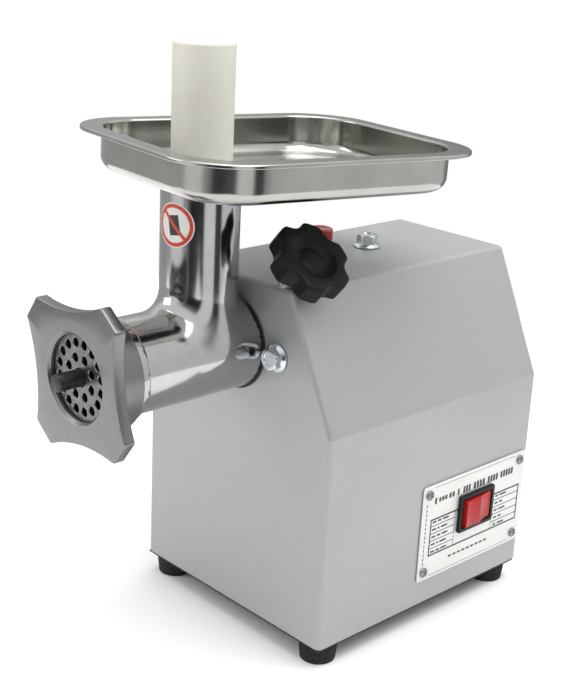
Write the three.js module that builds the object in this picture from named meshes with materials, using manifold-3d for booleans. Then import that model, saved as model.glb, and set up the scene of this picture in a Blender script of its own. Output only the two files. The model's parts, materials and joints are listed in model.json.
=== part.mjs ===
// An electric meat grinder: a steel housing on rubber feet holds a motor and a two-stage gearbox,
// whose output shaft turns the auger of a cast grinding head clamped into the housing's front.
// Millimetres, +Z up, the head towards -Y and the switch on the +X side.
import * as THREE from 'three';
import { mergeVertices } from 'three/addons/utils/BufferGeometryUtils.js';
import Module from 'manifold-3d';

const wasm = await Module();
wasm.setup();

// ---- driving dimensions -------------------------------------------------------------------------
const gap = 0.3;                  // between two pieces that touch
const sheet = 2;                  // housing and panel sheet

const housingWidth = 190;
const housingDepth = 218;
const housingHeight = 246.4;      // sheet housing alone, from its bottom edge to its top
const sideHeight = 156.2;         // bottom edge to the fold where a side leans in
const shoulderInset = 42.7;       // how far each shoulder leans in at the top
const foldRadius = 4;             // rounded front edges of the housing
const returnFlange = 11;          // inner rim behind the back panel

const footHeight = 14.2;
const footTopRadius = 14;
const footBottomRadius = 12.6;
const footInset = 15;             // foot axis in from the housing's two sides
const plugRadius = 5;             // waist of a foot where it goes through the base
const baseSheet = 1.5;

const driveX = -4;                // drive axis, left of the housing's middle
const caseWall = 4;
const gearClearance = 2;
const casePad = 1.7;              // pad between the gear case and the housing's top
const wallPlate = 10;             // front wall and cover of the gear case, which hold the bearings
const gearFront = 83;             // front face of the gear case
const stageOne = { module: 1.5, pinion: 12, wheel: 48, width: 9 };
const stageTwo = { module: 2, pinion: 14, wheel: 36, width: 15 };
const layshaftTurn = 15 * Math.PI / 180;    // layshaft to the right of straight below the output

const outputRadius = 10;
const layshaftRadius = 7;
const motorShaftRadius = 7;
const pinionBore = 4.5;
const motorTubeGap = 9;           // air between the motor and the tube above it
const motorFront = 12;
const motorWall = 2.5;
const windingLength = 7;

const shankStep = 6.2;            // head's shank below its barrel
const socketDepth = 21;
const tubeWall = 3.7;
const tongueSize = 12;            // across the auger's square drive tongue
const tongueLength = 13;
const boltClear = 11.2;           // the flange bolts, out from the gasket or the barrel
const clampAngle = 42.5 * Math.PI / 180;     // clamp screw, from straight up towards +X
const clampBack = 8;              // clamp screw behind the housing's front
const clampRadius = 5;
const knobRadius = 27.5;
const knobHeight = 15;
const knobLobes = 6;
const knobHub = 10;

const barrelBore = 26;            // chamber that the auger turns in
const barrelWall = 6.2;
const barrelRadius = barrelBore + barrelWall;
const barrelLength = 120.7;
const collarLength = 24;
const plungerRadius = 20;
const neckBore = plungerRadius + 3.6;
const neckRadius = neckBore + 2.65;
const neckTop = 112.6;            // neck's rim above the drive axis
const neckToPanel = 5.75;
const augerCore = 9;
const augerPitch = 27;
const augerJournal = augerCore;
const shankLength = 20;
const plateRadius = barrelBore + 5;
const collarRadius = plateRadius + gap + 4;  // threaded collar under the ring nut
const plateThickness = 7;
const plateProud = 4.4;           // plate stands out of the barrel's mouth
const plateHole = 3;
const knifeThickness = 8;
const pinRadius = 5.75;
const pinLength = 18;
const ringLip = 4;
const ringPlate = 8;
const ringLength = 26;
const ringHub = collarRadius + 3.3;
const ringOpening = plateRadius - 2.6;
const ringWaist = ringHub + 4.9;  // between two lobes
const ringReach = ringWaist + 15.7;         // out to the flat end of a lobe
const ringLobeWidth = 20;
const ringTurn = 8 * Math.PI / 180;

const trayWidth = 187;
const trayLength = 227.5;
const trayCorner = 43.5;
const trayDepth = 28;
const trayFlange = 11.5;
const traySheet = 1.5;
const trayBack = 56.5;              // tray's middle behind the neck's axis
const trayLift = 1.3;             // tray's floor above the neck's rim
const trayTurn = 8.5 * Math.PI / 180;         // the loose tray sits a little turned
const traySag = 1.77 * Math.PI / 180;       // and a little down at the back
const spigotLength = 16;
const spigotPlay = 0.7 + spigotLength * Math.sin(traySag);
const plungerProud = 90.8;        // plunger stands out of the neck's rim

const plateWidth = 118;           // rating plate along Y
const plateHeight = 76;
const plateMiddle = [157, 73];    // its middle, from the housing's front and from the floor
const plateSheet = 1;
const bezel = { length: 40, height: 30, thick: 2.7, border: 3.2, depth: 25 };
const rockerTilt = 6.5 * Math.PI / 180;     // switched to one side
const switchMiddle = [158.3, 78.5];
const panelScrew = 3.6;

const fillerOffset = -32;         // filler neck, left of the drive axis
const fillerRadius = 7;

// ---- worked-out positions -----------------------------------------------------------------------
const housingBottom = footHeight + baseSheet + gap;
const housingTop = housingBottom + housingHeight;
const side = housingWidth / 2;
const pitch = (teeth, stage) => teeth * stage.module / 2;
const tip = (teeth, stage) => pitch(teeth, stage) + 0.9 * stage.module;
const caseRadius = tip(stageTwo.wheel, stageTwo) + gearClearance + caseWall;
const driveZ = housingTop - sheet - gap - casePad - caseRadius;

const centreOne = pitch(stageOne.pinion + stageOne.wheel, stageOne);
const centreTwo = pitch(stageTwo.pinion + stageTwo.wheel, stageTwo);
const layX = driveX + centreTwo * Math.sin(layshaftTurn);
const layZ = driveZ - centreTwo * Math.cos(layshaftTurn);
const motorX = driveX;
const motorZ = layZ - Math.sqrt(centreOne ** 2 - (layX - motorX) ** 2);

const socketRadius = barrelRadius - shankStep + gap;      // bore that takes the head's shank
const tubeRadius = socketRadius + tubeWall;
const gasketRadius = tubeRadius + 3.6;
const motorRadius = driveZ - motorZ - tubeRadius - motorTubeGap;
const foldReach = (side - shoulderInset - driveX) * Math.sin(clampAngle)
  + (housingTop - driveZ) * Math.cos(clampAngle);
const knobBack = foldReach + knobHub + 1.3;
const knobFace = knobBack + knobHeight;     // out from the drive axis
const gearInside = gearFront + wallPlate;
const wheelOneY = gearInside + gearClearance;
const wheelTwoY = wheelOneY + stageOne.width + 3;
const coverY = wheelTwoY + stageTwo.width + gearClearance + gap;
const coverBack = coverY + wallPlate;
const coverBoltBack = coverY + wallPlate / 2;
const fillerBack = wheelTwoY + stageTwo.width / 3;

const shoulderY = -1.6;           // rear shoulder of the barrel, just off the gasket
const neckY = -(neckToPanel + neckRadius);
const chamberBack = neckY + neckBore + 1.4;
const mouthY = shoulderY - barrelLength;
const plateFrontY = mouthY - plateProud;
const plateBackY = plateFrontY + plateThickness;
const knifeBackY = plateBackY + gap + knifeThickness;
const ringFrontY = plateFrontY - gap - ringLip;
const pinTipY = plateFrontY - pinLength;
const rimZ = driveZ + neckTop;
const shaftFrontY = shankLength + gap;

// ---- solids -------------------------------------------------------------------------------------
function solid(geometry) {
  geometry.deleteAttribute('normal');
  geometry.deleteAttribute('uv');
  const merged = mergeVertices(geometry, 1e-4);
  const at = merged.attributes.position;
  const index = merged.index.array;
  const triangles = [];
  let volume = 0;
  const [a, b, c] = [new THREE.Vector3(), new THREE.Vector3(), new THREE.Vector3()];
  for (let i = 0; i < index.length; i += 3) {
    const [p, q, r] = [index[i], index[i + 1], index[i + 2]];
    if (p === q || q === r || r === p) continue;
    triangles.push(p, q, r);
    a.fromBufferAttribute(at, p);
    b.fromBufferAttribute(at, q);
    c.fromBufferAttribute(at, r);
    volume += a.dot(b.cross(c));
  }
  if (volume < 0) triangles.reverse();
  return new wasm.Manifold(new wasm.Mesh({
    numProp: 3,
    vertProperties: new Float32Array(at.array),
    triVerts: new Uint32Array(triangles),
  }));
}

const join = (first, ...rest) => rest.reduce((all, next) => all.add(next), first);
const cut = (first, ...rest) => rest.reduce((all, next) => all.subtract(next), first);

// A disc or rod about an axis along Y, X or Z.
function rodY(x, z, radius, from, to, segments = 20) {
  const rod = new THREE.CylinderGeometry(radius, radius, to - from, segments);
  return solid(rod.translate(x, (from + to) / 2, z));
}
function rodX(y, z, radius, from, to, segments = 12) {
  const rod = new THREE.CylinderGeometry(radius, radius, to - from, segments).rotateZ(-Math.PI / 2);
  return solid(rod.translate((from + to) / 2, y, z));
}
function rodZ(x, y, radius, from, to, segments = 20) {
  const rod = new THREE.CylinderGeometry(radius, radius, to - from, segments).rotateX(Math.PI / 2);
  return solid(rod.translate(x, y, (from + to) / 2));
}
function block(x0, x1, y0, y1, z0, z1) {
  const box = new THREE.BoxGeometry(x1 - x0, y1 - y0, z1 - z0);
  return solid(box.translate((x0 + x1) / 2, (y0 + y1) / 2, (z0 + z1) / 2));
}
// A closed profile of [radius, distance] points turned about Y, or about Z when upright.
function turned(profile, segments = 24) {
  const points = [...profile, profile[0]].map(([r, y]) => new THREE.Vector2(r, y));
  return new THREE.LatheGeometry(points, segments);
}
const turnedY = (x, z, profile, segments) => solid(turned(profile, segments).translate(x, 0, z));
const turnedZ = (x, y, profile, segments) =>
  solid(turned(profile, segments).rotateX(Math.PI / 2).translate(x, y, 0));
// A shape drawn across X and Z, extruded along Y.
function slab(shape, from, to) {
  const options = { depth: to - from, bevelEnabled: false, curveSegments: 8 };
  const plate = new THREE.ExtrudeGeometry(shape, options);
  return solid(plate.rotateX(Math.PI / 2).translate(0, to, 0));
}
const outline = (points) => new THREE.Shape(points.map(([x, y]) => new THREE.Vector2(x, y)));

// The smallest outline around some circles, as [x, z, radius], grown by a margin.
function around(circles, margin) {
  const steps = 20;
  const points = [];
  for (const [x, z, radius] of circles) {
    for (let i = 0; i < steps; i++) {
      const turn = 2 * Math.PI * i / steps;
      points.push([x + (radius + margin) * Math.cos(turn), z + (radius + margin) * Math.sin(turn)]);
    }
  }
  points.sort((p, q) => p[0] - q[0] || p[1] - q[1]);
  const half = (list) => {
    const hull = [];
    for (const p of list) {
      while (hull.length > 1) {
        const [a, b] = hull.slice(-2);
        if ((b[0] - a[0]) * (p[1] - a[1]) - (b[1] - a[1]) * (p[0] - a[0]) > 1e-9) break;
        hull.pop();
      }
      hull.push(p);
    }
    return hull.slice(0, -1);
  };
  return outline([...half(points), ...half([...points].reverse())]);
}

function roundedRectangle(width, height, radius, x = 0, y = 0) {
  const [a, b] = [width / 2 - radius, height / 2 - radius];
  const shape = new THREE.Shape();
  shape.absarc(x + a, y + b, radius, 0, Math.PI / 2);
  shape.absarc(x - a, y + b, radius, Math.PI / 2, Math.PI);
  shape.absarc(x - a, y - b, radius, Math.PI, 1.5 * Math.PI);
  shape.absarc(x + a, y - b, radius, 1.5 * Math.PI, 2 * Math.PI);
  return shape;
}

// Straight-sided gear teeth about (x, z), with one tooth, or one gap, pointing along `aim`.
function gear(x, z, teeth, stage, from, aim, toothAtAim, width = stage.width) {
  const step = 2 * Math.PI / teeth;
  const pitchRadius = pitch(teeth, stage);
  const root = [pitchRadius - 1.25 * stage.module, 0.33];
  const crest = [tip(teeth, stage), 0.1];
  const tooth = [[root[0], -root[1]], [crest[0], -crest[1]], crest, root];
  const points = [];
  for (let i = 0; i < teeth; i++) {
    const middle = aim + (i + (toothAtAim ? 0 : 0.5)) * step;
    for (const [r, share] of tooth) {
      const turn = middle + share * step;
      points.push([x + r * Math.cos(turn), z + r * Math.sin(turn)]);
    }
  }
  return slab(outline(points), from, from + width);
}

// ---- the model ----------------------------------------------------------------------------------
const machine = new THREE.Group();
const finish = {
  sheet: [0xb4b6b8, 0.45, 0.85], black: [0x161616, 0.6, 0], rubber: [0x111111, 0.9, 0],
  cast: [0x9a9c9e, 0.55, 0.7], steel: [0x8d9093, 0.4, 0.9], polished: [0xd8dadc, 0.12, 1],
  zinc: [0xb9bec2, 0.3, 0.95], red: [0xc01818, 0.3, 0], bronze: [0xa9743a, 0.4, 0.9],
  copper: [0xb5653a, 0.45, 0.8], cream: [0xe6e1cf, 0.5, 0], label: [0xd9dbdc, 0.4, 0.5],
  grey: [0x6d7072, 0.7, 0.1], white: [0xe8e8e6, 0.5, 0],
};
function add(name, body, [color, roughness, metalness], parent = machine) {
  const mesh = body.getMesh();
  const geometry = new THREE.BufferGeometry();
  geometry.setAttribute('position', new THREE.BufferAttribute(mesh.vertProperties, 3));
  geometry.setIndex(new THREE.BufferAttribute(mesh.triVerts, 1));
  const piece = new THREE.Mesh(
    geometry, new THREE.MeshStandardMaterial({ color, roughness, metalness }));
  piece.name = name;
  parent.add(piece);
  return piece;
}
const bothSides = [-1, 1];

// ---- housing ------------------------------------------------------------------------------------
// The housing's front outline, `inset` inside its outer face.
function housingShape(inset, bottom) {
  const lean = (housingHeight - sideHeight) / Math.hypot(shoulderInset, housingHeight - sideHeight);
  const tilt = shoulderInset / Math.hypot(shoulderInset, housingHeight - sideHeight);
  const top = housingTop - inset;
  const fold = housingBottom + sideHeight - inset * (1 - lean) / tilt;
  const topHalf = side - shoulderInset - inset * (1 - tilt) / lean;
  return outline([
    [-side + inset, bottom], [side - inset, bottom], [side - inset, fold],
    [topHalf, top], [-topHalf, top], [-side + inset, fold],
  ]);
}
// A rod or other turned piece about the clamp screw's axis, distances out from the drive axis.
function alongClamp(geometry) {
  geometry.rotateZ(-Math.PI / 2).rotateY(-(Math.PI / 2 - clampAngle));
  return solid(geometry.translate(driveX, clampBack, driveZ));
}
const clampRod = (radius, from, to, segments = 20) => alongClamp(
  new THREE.CylinderGeometry(radius, radius, to - from, segments).translate(0, (from + to) / 2, 0));
const boltReach = Math.max(gasketRadius, barrelRadius) + boltClear;
const flangeBolts = bothSides.map((way) => driveX + way * boltReach);
const plateSides = [
  plateMiddle[0] - plateWidth / 2, plateMiddle[0] + plateWidth / 2,
  plateMiddle[1] - plateHeight / 2, plateMiddle[1] + plateHeight / 2,
];
const plateScrews = [0, 1, 2, 3].map((i) => [
  plateSides[i % 2] + (i % 2 ? -6.5 : 6.5), plateSides[i < 2 ? 2 : 3] + (i < 2 ? 7 : -7)]);

function housing() {
  const rounded = new THREE.ExtrudeGeometry(housingShape(foldRadius, housingBottom - 20), {
    depth: housingDepth, bevelThickness: foldRadius, bevelSize: foldRadius, bevelSegments: 3,
  });
  const outside = solid(rounded.rotateX(Math.PI / 2).translate(0, housingDepth + foldRadius, 0));
  const far = 2 * housingWidth;
  const trimmed = cut(outside,
    block(-far, far, -far, far, -far, housingBottom), block(-far, far, housingDepth, far, 0, far));
  const inside = slab(housingShape(sheet, 0), sheet, housingDepth - 2 * sheet - gap);
  const flangeHole = slab(housingShape(returnFlange, returnFlange + housingBottom), sheet, far);
  const pocket = slab(housingShape(sheet, 0), housingDepth - sheet - gap, far);
  const holes = [
    rodY(driveX, driveZ, tubeRadius + gap, -5, 2 * sheet, 32),
    ...flangeBolts.map((x) => rodY(x, driveZ, 5.3, -5, 2 * sheet, 20)),
    clampRod(clampRadius + 0.8, 2 * clampRadius + tubeRadius, knobFace),
    rodZ(driveX, coverBoltBack, 4.4, housingTop - 2 * sheet, housingTop + 5, 20),
    rodZ(driveX + fillerOffset, fillerBack, fillerRadius + 1, housingTop - 2 * sheet, housingTop + 5),
    block(side - 2 * sheet, side + 5, switchMiddle[0] - bezel.length / 2 + 1.2,
      switchMiddle[0] + bezel.length / 2 - 1.2, switchMiddle[1] - bezel.height / 2 + 1.2,
      switchMiddle[1] + bezel.height / 2 - 1.2),
    ...plateScrews.map(([y, z]) => rodX(y, z, 1.9, side - 2 * sheet, side + 5, 12)),
    ...backScrews.map(([x, z]) => rodY(x, z, 2.4, housingDepth - 5 * sheet, far, 12)),
  ];
  return cut(trimmed, inside, flangeHole, pocket, ...holes);
}
const backScrews = [
  [-side + returnFlange / 2 + 1, housingBottom + 30], [side - returnFlange / 2 - 1, housingBottom + 30],
  [-side + shoulderInset + 12, housingTop - returnFlange / 2 - 1],
  [side - shoulderInset - 12, housingTop - returnFlange / 2 - 1],
];
const louvreLength = 58;
const louvreRows = 3;
const louvreStep = 28;
const louvreTop = housingBottom + 103;
const glandZ = housingBottom + 26;

function backPanel() {
  const front = housingDepth - sheet;
  let panel = slab(housingShape(sheet + gap, housingBottom + gap), front, housingDepth);
  for (let row = 0; row < louvreRows; row++) {
    for (const way of bothSides) {
      const [x, z] = [way * (louvreLength / 2 + 8), louvreTop - row * louvreStep];
      const [x0, x1] = [x - louvreLength / 2, x + louvreLength / 2];
      panel = cut(panel, block(x0, x1, front - 1, housingDepth + 1, z - 3.5, z));
      const hood = outline([[front + 0.5, z - 0.5], [housingDepth + 3.2, z - 4.5],
        [housingDepth + 4.4, z - 3.9], [housingDepth, z + 1], [front + 0.5, z + 1]]);
      const bent = new THREE.ExtrudeGeometry(hood, { depth: x1 - x0, bevelEnabled: false });
      bent.rotateX(Math.PI / 2).rotateZ(Math.PI / 2);
      panel = join(panel, solid(bent.translate(x0, 0, 0)));
    }
  }
  const screwHoles = backScrews.map(([x, z]) => rodY(x, z, 2.4, front - 1, housingDepth + 1, 12));
  return cut(panel, rodY(0, glandZ, 8.3, front - 1, housingDepth + 1), ...screwHoles);
}

const feet = bothSides.flatMap((way) => [
  [way * (side - footInset), footInset], [way * (side - footInset), housingDepth - footInset]]);
function basePlate() {
  const plate = block(-side + 0.5, side - 0.5, 0.5, housingDepth - 0.5,
    footHeight + gap / 2, footHeight + gap / 2 + baseSheet - gap / 2);
  return cut(plate, ...feet.map(([x, y]) => rodZ(x, y, plugRadius + gap, 0, housingBottom + 9, 16)));
}
const footProfile = [
  [0, 0], [footBottomRadius - 1, 0], [footBottomRadius, 1], [footTopRadius, footHeight - 1],
  [footTopRadius - 1, footHeight - gap / 2], [plugRadius, footHeight - gap / 2],
  [plugRadius, housingBottom], [plugRadius + 2.5, housingBottom], [plugRadius - 2, housingBottom + 8],
  [0, housingBottom + 8],
];

add('housing_shell', housing(), finish.sheet);
add('back_panel', backPanel(), finish.sheet);
add('base_plate', basePlate(), finish.black);
feet.forEach(([x, y], i) => add(`foot_${i + 1}`, turnedZ(x, y, footProfile, 18), finish.rubber));
backScrews.forEach(([x, z], i) => add(`panel_screw_${i + 1}`, join(
  rodY(x, z, panelScrew, housingDepth + gap, housingDepth + 2.4, 16),
  rodY(x, z, 2, housingDepth - 8, housingDepth + 1, 12)), finish.zinc));
add('cable_gland', turnedY(0, glandZ, [
  [4.5, housingDepth - 14], [8, housingDepth - 14], [8, housingDepth + gap],
  [11, housingDepth + gap], [11, housingDepth + 6], [8.5, housingDepth + 14], [4.5, housingDepth + 14],
], 24), finish.black);

// ---- head socket and clamp ----------------------------------------------------------------------
const sealRadius = tubeRadius - 7;
const shaftHub = 14;              // front end of the output shaft, which takes the tongue
const hubLength = 24;
const flangeThick = 6;
function socketTube() {
  const tube = turnedY(driveX, driveZ, [
    [socketRadius, -1.2], [tubeRadius, -1.2], [tubeRadius, gearFront - gap],
    [sealRadius + gap, gearFront - gap], [sealRadius + gap, socketDepth + 2.5],
    [shaftHub + gap, socketDepth + 2.5], [shaftHub + gap, socketDepth], [socketRadius, socketDepth],
  ], 32);
  const lobes = [[driveX, driveZ, tubeRadius + 5], ...flangeBolts.map((x) => [x, driveZ, 12])];
  const flange = slab(around(lobes, 0), sheet + gap, sheet + gap + flangeThick);
  const bore = rodY(driveX, driveZ, tubeRadius - 1, 0, 20, 32);
  const boss = cut(clampRod(clampRadius + 3.5, socketRadius + 1.5, tubeRadius + 6),
    block(-side, side, -side, sheet + gap, driveZ, housingTop));
  return cut(join(tube, cut(flange, bore), boss),
    clampRod(clampRadius + gap, socketRadius - 2, tubeRadius + 12),
    ...flangeBolts.map((x) => rodY(x, driveZ, 4.8, 0, 20, 20)));
}
add('socket_tube', socketTube(), finish.cast);
add('nose_gasket', turnedY(driveX, driveZ, [
  [tubeRadius + gap, -1.3], [gasketRadius, -1.3], [gasketRadius, -gap], [tubeRadius + gap, -gap],
], 32), finish.rubber);
flangeBolts.forEach((x, i) => add(`nose_bolt_${i + 1}`, join(
  rodY(x, driveZ, 10, -2.2, -gap, 28), rodY(x, driveZ, 8.2, -8, -2, 6),
  rodY(x, driveZ, 4.5, -2, flangeThick + sheet + 8, 16)), finish.zinc));

// Lobes with flat ends, and shallow hollows between them.
function knobShape(radius) {
  const step = 2 * Math.PI / knobLobes;
  const reaches = [[-0.22, 1], [0.22, 1], [0.36, 0.88], [0.5, 0.84], [0.64, 0.88]];
  const points = [];
  for (let lobe = 0; lobe < knobLobes; lobe++) {
    for (const [share, reach] of reaches) {
      const turn = (lobe + share) * step;
      points.push([radius * reach * Math.cos(turn), radius * reach * Math.sin(turn)]);
    }
  }
  return outline(points);
}
function knob() {
  const body = new THREE.ExtrudeGeometry(knobShape(knobRadius - 1), {
    depth: knobHeight - 2, bevelThickness: 1, bevelSize: 1, bevelSegments: 1,
  });
  const grip = alongClamp(body.rotateX(-Math.PI / 2).translate(0, knobBack + 1, 0));
  const hub = clampRod(8, knobBack - knobHub, knobBack + 2, 24);
  const dish = clampRod(15, knobFace - 3, knobFace + 2, 28);
  return cut(join(grip, hub), dish, clampRod(clampRadius + gap, 0, knobFace - 6));
}
add('clamp_screw', clampRod(clampRadius, socketRadius + gap, knobFace - 6 - gap), finish.steel);
add('clamp_knob', knob(), finish.black);

// ---- gear case, gears and shafts ----------------------------------------------------------------
const caseCircles = [
  [driveX, driveZ, tip(stageTwo.wheel, stageTwo)], [layX, layZ, tip(stageOne.wheel, stageOne)],
  [motorX, motorZ, tip(stageOne.pinion, stageOne)],
];
const bearing = { width: 8, wall: 6 };
const pocketRadius = (shaft) => shaft + bearing.wall + 2 * gap;
function gearCase() {
  const shell = slab(around(caseCircles, gearClearance + caseWall), gearFront, coverY - gap);
  const inside = slab(around(caseCircles, gearClearance), gearInside, coverY + 5);
  const neckFoot = driveZ + Math.sqrt(caseRadius ** 2 - fillerOffset ** 2) - caseWall - 1;
  const fillX = driveX + fillerOffset;
  const neck = rodZ(fillX, fillerBack, fillerRadius, neckFoot, housingTop + 0.5, 20);
  const neckOutside = cut(neck, slab(around(caseCircles, gearClearance), gearInside, coverY + 5));
  const fillBore = rodZ(fillX, fillerBack, fillerRadius - 2.5, neckFoot - 8, housingTop + 5, 20);
  const pad = rodZ(driveX, (gearFront + coverY) / 2, 11, driveZ + caseRadius - 3,
    driveZ + caseRadius + casePad, 24);
  return cut(join(cut(shell, inside), neckOutside, pad), fillBore,
    rodY(driveX, driveZ, outputRadius + 3, gearFront - 5, gearInside + 5),
    rodY(motorX, motorZ, tip(stageOne.pinion, stageOne) + 0.8, gearFront - 5, gearInside + 1),
    rodY(layX, layZ, pocketRadius(layshaftRadius), gearInside - bearing.width - gap, gearInside + 5));
}
function gearCover() {
  const plate = slab(around(caseCircles, gearClearance + caseWall), coverY, coverBack);
  const lug = block(driveX - 11, driveX + 11, coverY, coverBack,
    driveZ + caseRadius - 6, driveZ + caseRadius + casePad);
  return cut(join(plate, lug),
    rodZ(driveX, coverBoltBack, 4 + gap, driveZ + caseRadius - 17, housingTop, 20),
    rodY(driveX, driveZ, pocketRadius(outputRadius), coverY - 5, coverY + bearing.width + gap),
    rodY(layX, layZ, pocketRadius(layshaftRadius), coverY - 5, coverY + bearing.width + gap));
}
const ring = (x, z, inner, outer, from, to, segments = 20) => turnedY(x, z,
  [[inner, from], [outer, from], [outer, to], [inner, to]], segments);
const bearingRing = (x, z, shaft, from) =>
  ring(x, z, shaft + gap, shaft + gap + bearing.wall, from, from + bearing.width);

add('gear_case', gearCase(), finish.cast);
add('gear_cover', gearCover(), finish.cast);
add('cover_bolt', join(rodZ(driveX, coverBoltBack, 10, housingTop + gap, housingTop + 2, 28),
  rodZ(driveX, coverBoltBack, 7.8, housingTop + 1, housingTop + 9.5, 6),
  rodZ(driveX, coverBoltBack, 4, driveZ + caseRadius - 14, housingTop + 2, 16)), finish.zinc);
add('filler_cap', turnedZ(driveX + fillerOffset, fillerBack, [
  [0, housingTop - 8], [fillerRadius - 2.8, housingTop - 8], [fillerRadius - 2.8, housingTop + 1],
  [fillerRadius + 2.5, housingTop + 1], [fillerRadius + 2.5, housingTop + 5],
  [fillerRadius, housingTop + 8], [fillerRadius - 4, housingTop + 9.5], [0, housingTop + 10],
], 20), finish.red);

const shaftBack = coverY + bearing.width;
function outputShaft() {
  const shaft = turnedY(driveX, driveZ, [
    [0, shaftFrontY], [shaftHub, shaftFrontY], [shaftHub, shaftFrontY + hubLength],
    [outputRadius, shaftFrontY + hubLength], [outputRadius, shaftBack], [0, shaftBack],
  ], 32);
  const half = tongueSize / 2 + 0.4;
  return cut(shaft, block(driveX - half, driveX + half, 0, shaftFrontY + tongueLength + 1,
    driveZ - half, driveZ + half));
}
const aimLay = Math.atan2(layZ - driveZ, layX - driveX);
const aimMotor = Math.atan2(motorZ - layZ, motorX - layX);
const opposite = (turn) => turn + Math.PI;
add('output_shaft', outputShaft(), finish.steel);
add('output_gear', cut(
  gear(driveX, driveZ, stageTwo.wheel, stageTwo, wheelTwoY, aimLay, true),
  rodY(driveX, driveZ, outputRadius + gap, 0, 200)), finish.steel);
const frontBearingY = socketDepth + 2.5 + gap + 6 + gap;
add('shaft_seal', ring(driveX, driveZ, shaftHub + gap, sealRadius, socketDepth + 2.5 + gap,
  frontBearingY - gap), finish.rubber);
add('output_bearing_front', ring(driveX, driveZ, shaftHub + gap, sealRadius, frontBearingY,
  frontBearingY + 12), finish.zinc);
add('output_bearing_rear', bearingRing(driveX, driveZ, outputRadius, coverY), finish.zinc);

const pinionTwo = gear(layX, layZ, stageTwo.pinion, stageTwo, wheelTwoY - 1, opposite(aimLay), false,
  stageTwo.width + 2);
add('layshaft', join(rodY(layX, layZ, layshaftRadius, gearInside - bearing.width, shaftBack),
  pinionTwo), finish.steel);
add('layshaft_gear', cut(
  gear(layX, layZ, stageOne.wheel, stageOne, wheelOneY, aimMotor, true),
  rodY(layX, layZ, layshaftRadius + gap, 0, 200)), finish.steel);
add('layshaft_bearing_front',
  bearingRing(layX, layZ, layshaftRadius, gearInside - bearing.width), finish.zinc);
add('layshaft_bearing_rear', bearingRing(layX, layZ, layshaftRadius, coverY), finish.zinc);

// ---- motor --------------------------------------------------------------------------------------
const motorBack = gearFront - gap;
const canInside = motorRadius - motorWall;
const bellThick = bearing.width + 3.5;
const bellFront = motorBack - bellThick;
const bossRadius = pocketRadius(motorShaftRadius) + 3;
const fanY = motorFront + motorWall + bearing.width + 2;
const fanWidth = 5;
const coreFront = fanY + fanWidth + 2 + windingLength;
const coreBack = bellFront - windingLength - 2;
add('motor_can', turnedY(motorX, motorZ, [
  [0, motorFront], [motorRadius, motorFront], [motorRadius, motorBack], [canInside, motorBack],
  [canInside, motorFront + motorWall], [bossRadius, motorFront + motorWall],
  [bossRadius, motorFront + motorWall + bearing.width], [pocketRadius(motorShaftRadius),
    motorFront + motorWall + bearing.width], [pocketRadius(motorShaftRadius), motorFront + motorWall],
  [0, motorFront + motorWall],
], 24), finish.grey);
add('motor_bell', turnedY(motorX, motorZ, [
  [motorShaftRadius + 1.5, motorBack], [canInside - gap, motorBack], [canInside - gap, bellFront],
  [pocketRadius(motorShaftRadius), bellFront],
  [pocketRadius(motorShaftRadius), bellFront + bearing.width + gap],
  [motorShaftRadius + 1.5, bellFront + bearing.width + gap],
], 24), finish.cast);
add('motor_bearing_front', bearingRing(motorX, motorZ, motorShaftRadius,
  motorFront + motorWall + gap), finish.zinc);
add('motor_bearing_rear', bearingRing(motorX, motorZ, motorShaftRadius, bellFront), finish.zinc);

const rotorRadius = 0.56 * canInside;
add('stator_core', ring(motorX, motorZ, rotorRadius + 0.5, canInside - gap, coreFront, coreBack, 24),
  finish.grey);
const windingRing = (from) => turnedY(motorX, motorZ, [
  [rotorRadius + 3, from], [canInside - 7, from], [canInside - 5, from + windingLength / 2],
  [canInside - 7, from + windingLength - gap], [rotorRadius + 3, from + windingLength - gap],
], 20);
add('stator_winding_front', windingRing(coreFront - windingLength), finish.copper);
add('stator_winding_rear', windingRing(coreBack + gap), finish.copper);
add('rotor', turnedY(motorX, motorZ, [
  [0, motorFront + motorWall + gap], [motorShaftRadius, motorFront + motorWall + gap],
  [motorShaftRadius, coreFront], [rotorRadius, coreFront], [rotorRadius, coreBack],
  [motorShaftRadius, coreBack], [motorShaftRadius, wheelOneY - 2], [pinionBore, wheelOneY - 2],
  [pinionBore, wheelOneY + stageOne.width + 1], [0, wheelOneY + stageOne.width + 1],
], 24), finish.steel);
add('motor_pinion', cut(
  gear(motorX, motorZ, stageOne.pinion, stageOne, wheelOneY - 1, opposite(aimMotor), false,
    stageOne.width + 1.5),
  rodY(motorX, motorZ, pinionBore + gap, 0, 200, 20)), finish.steel);
function fan() {
  const bladeReach = 0.8 * canInside;
  let wheel = rodY(motorX, motorZ, motorShaftRadius + 4, fanY, fanY + fanWidth, 24);
  for (let i = 0; i < 8; i++) {
    const blade = new THREE.BoxGeometry(bladeReach, fanWidth, 2).translate(bladeReach / 2, 0, 0);
    blade.rotateY(2 * Math.PI * i / 8).translate(motorX, fanY + fanWidth / 2, motorZ);
    wheel = join(wheel, solid(blade));
  }
  return cut(wheel, rodY(motorX, motorZ, motorShaftRadius + gap, 0, 100, 24));
}
add('motor_fan', fan(), finish.black);

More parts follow.
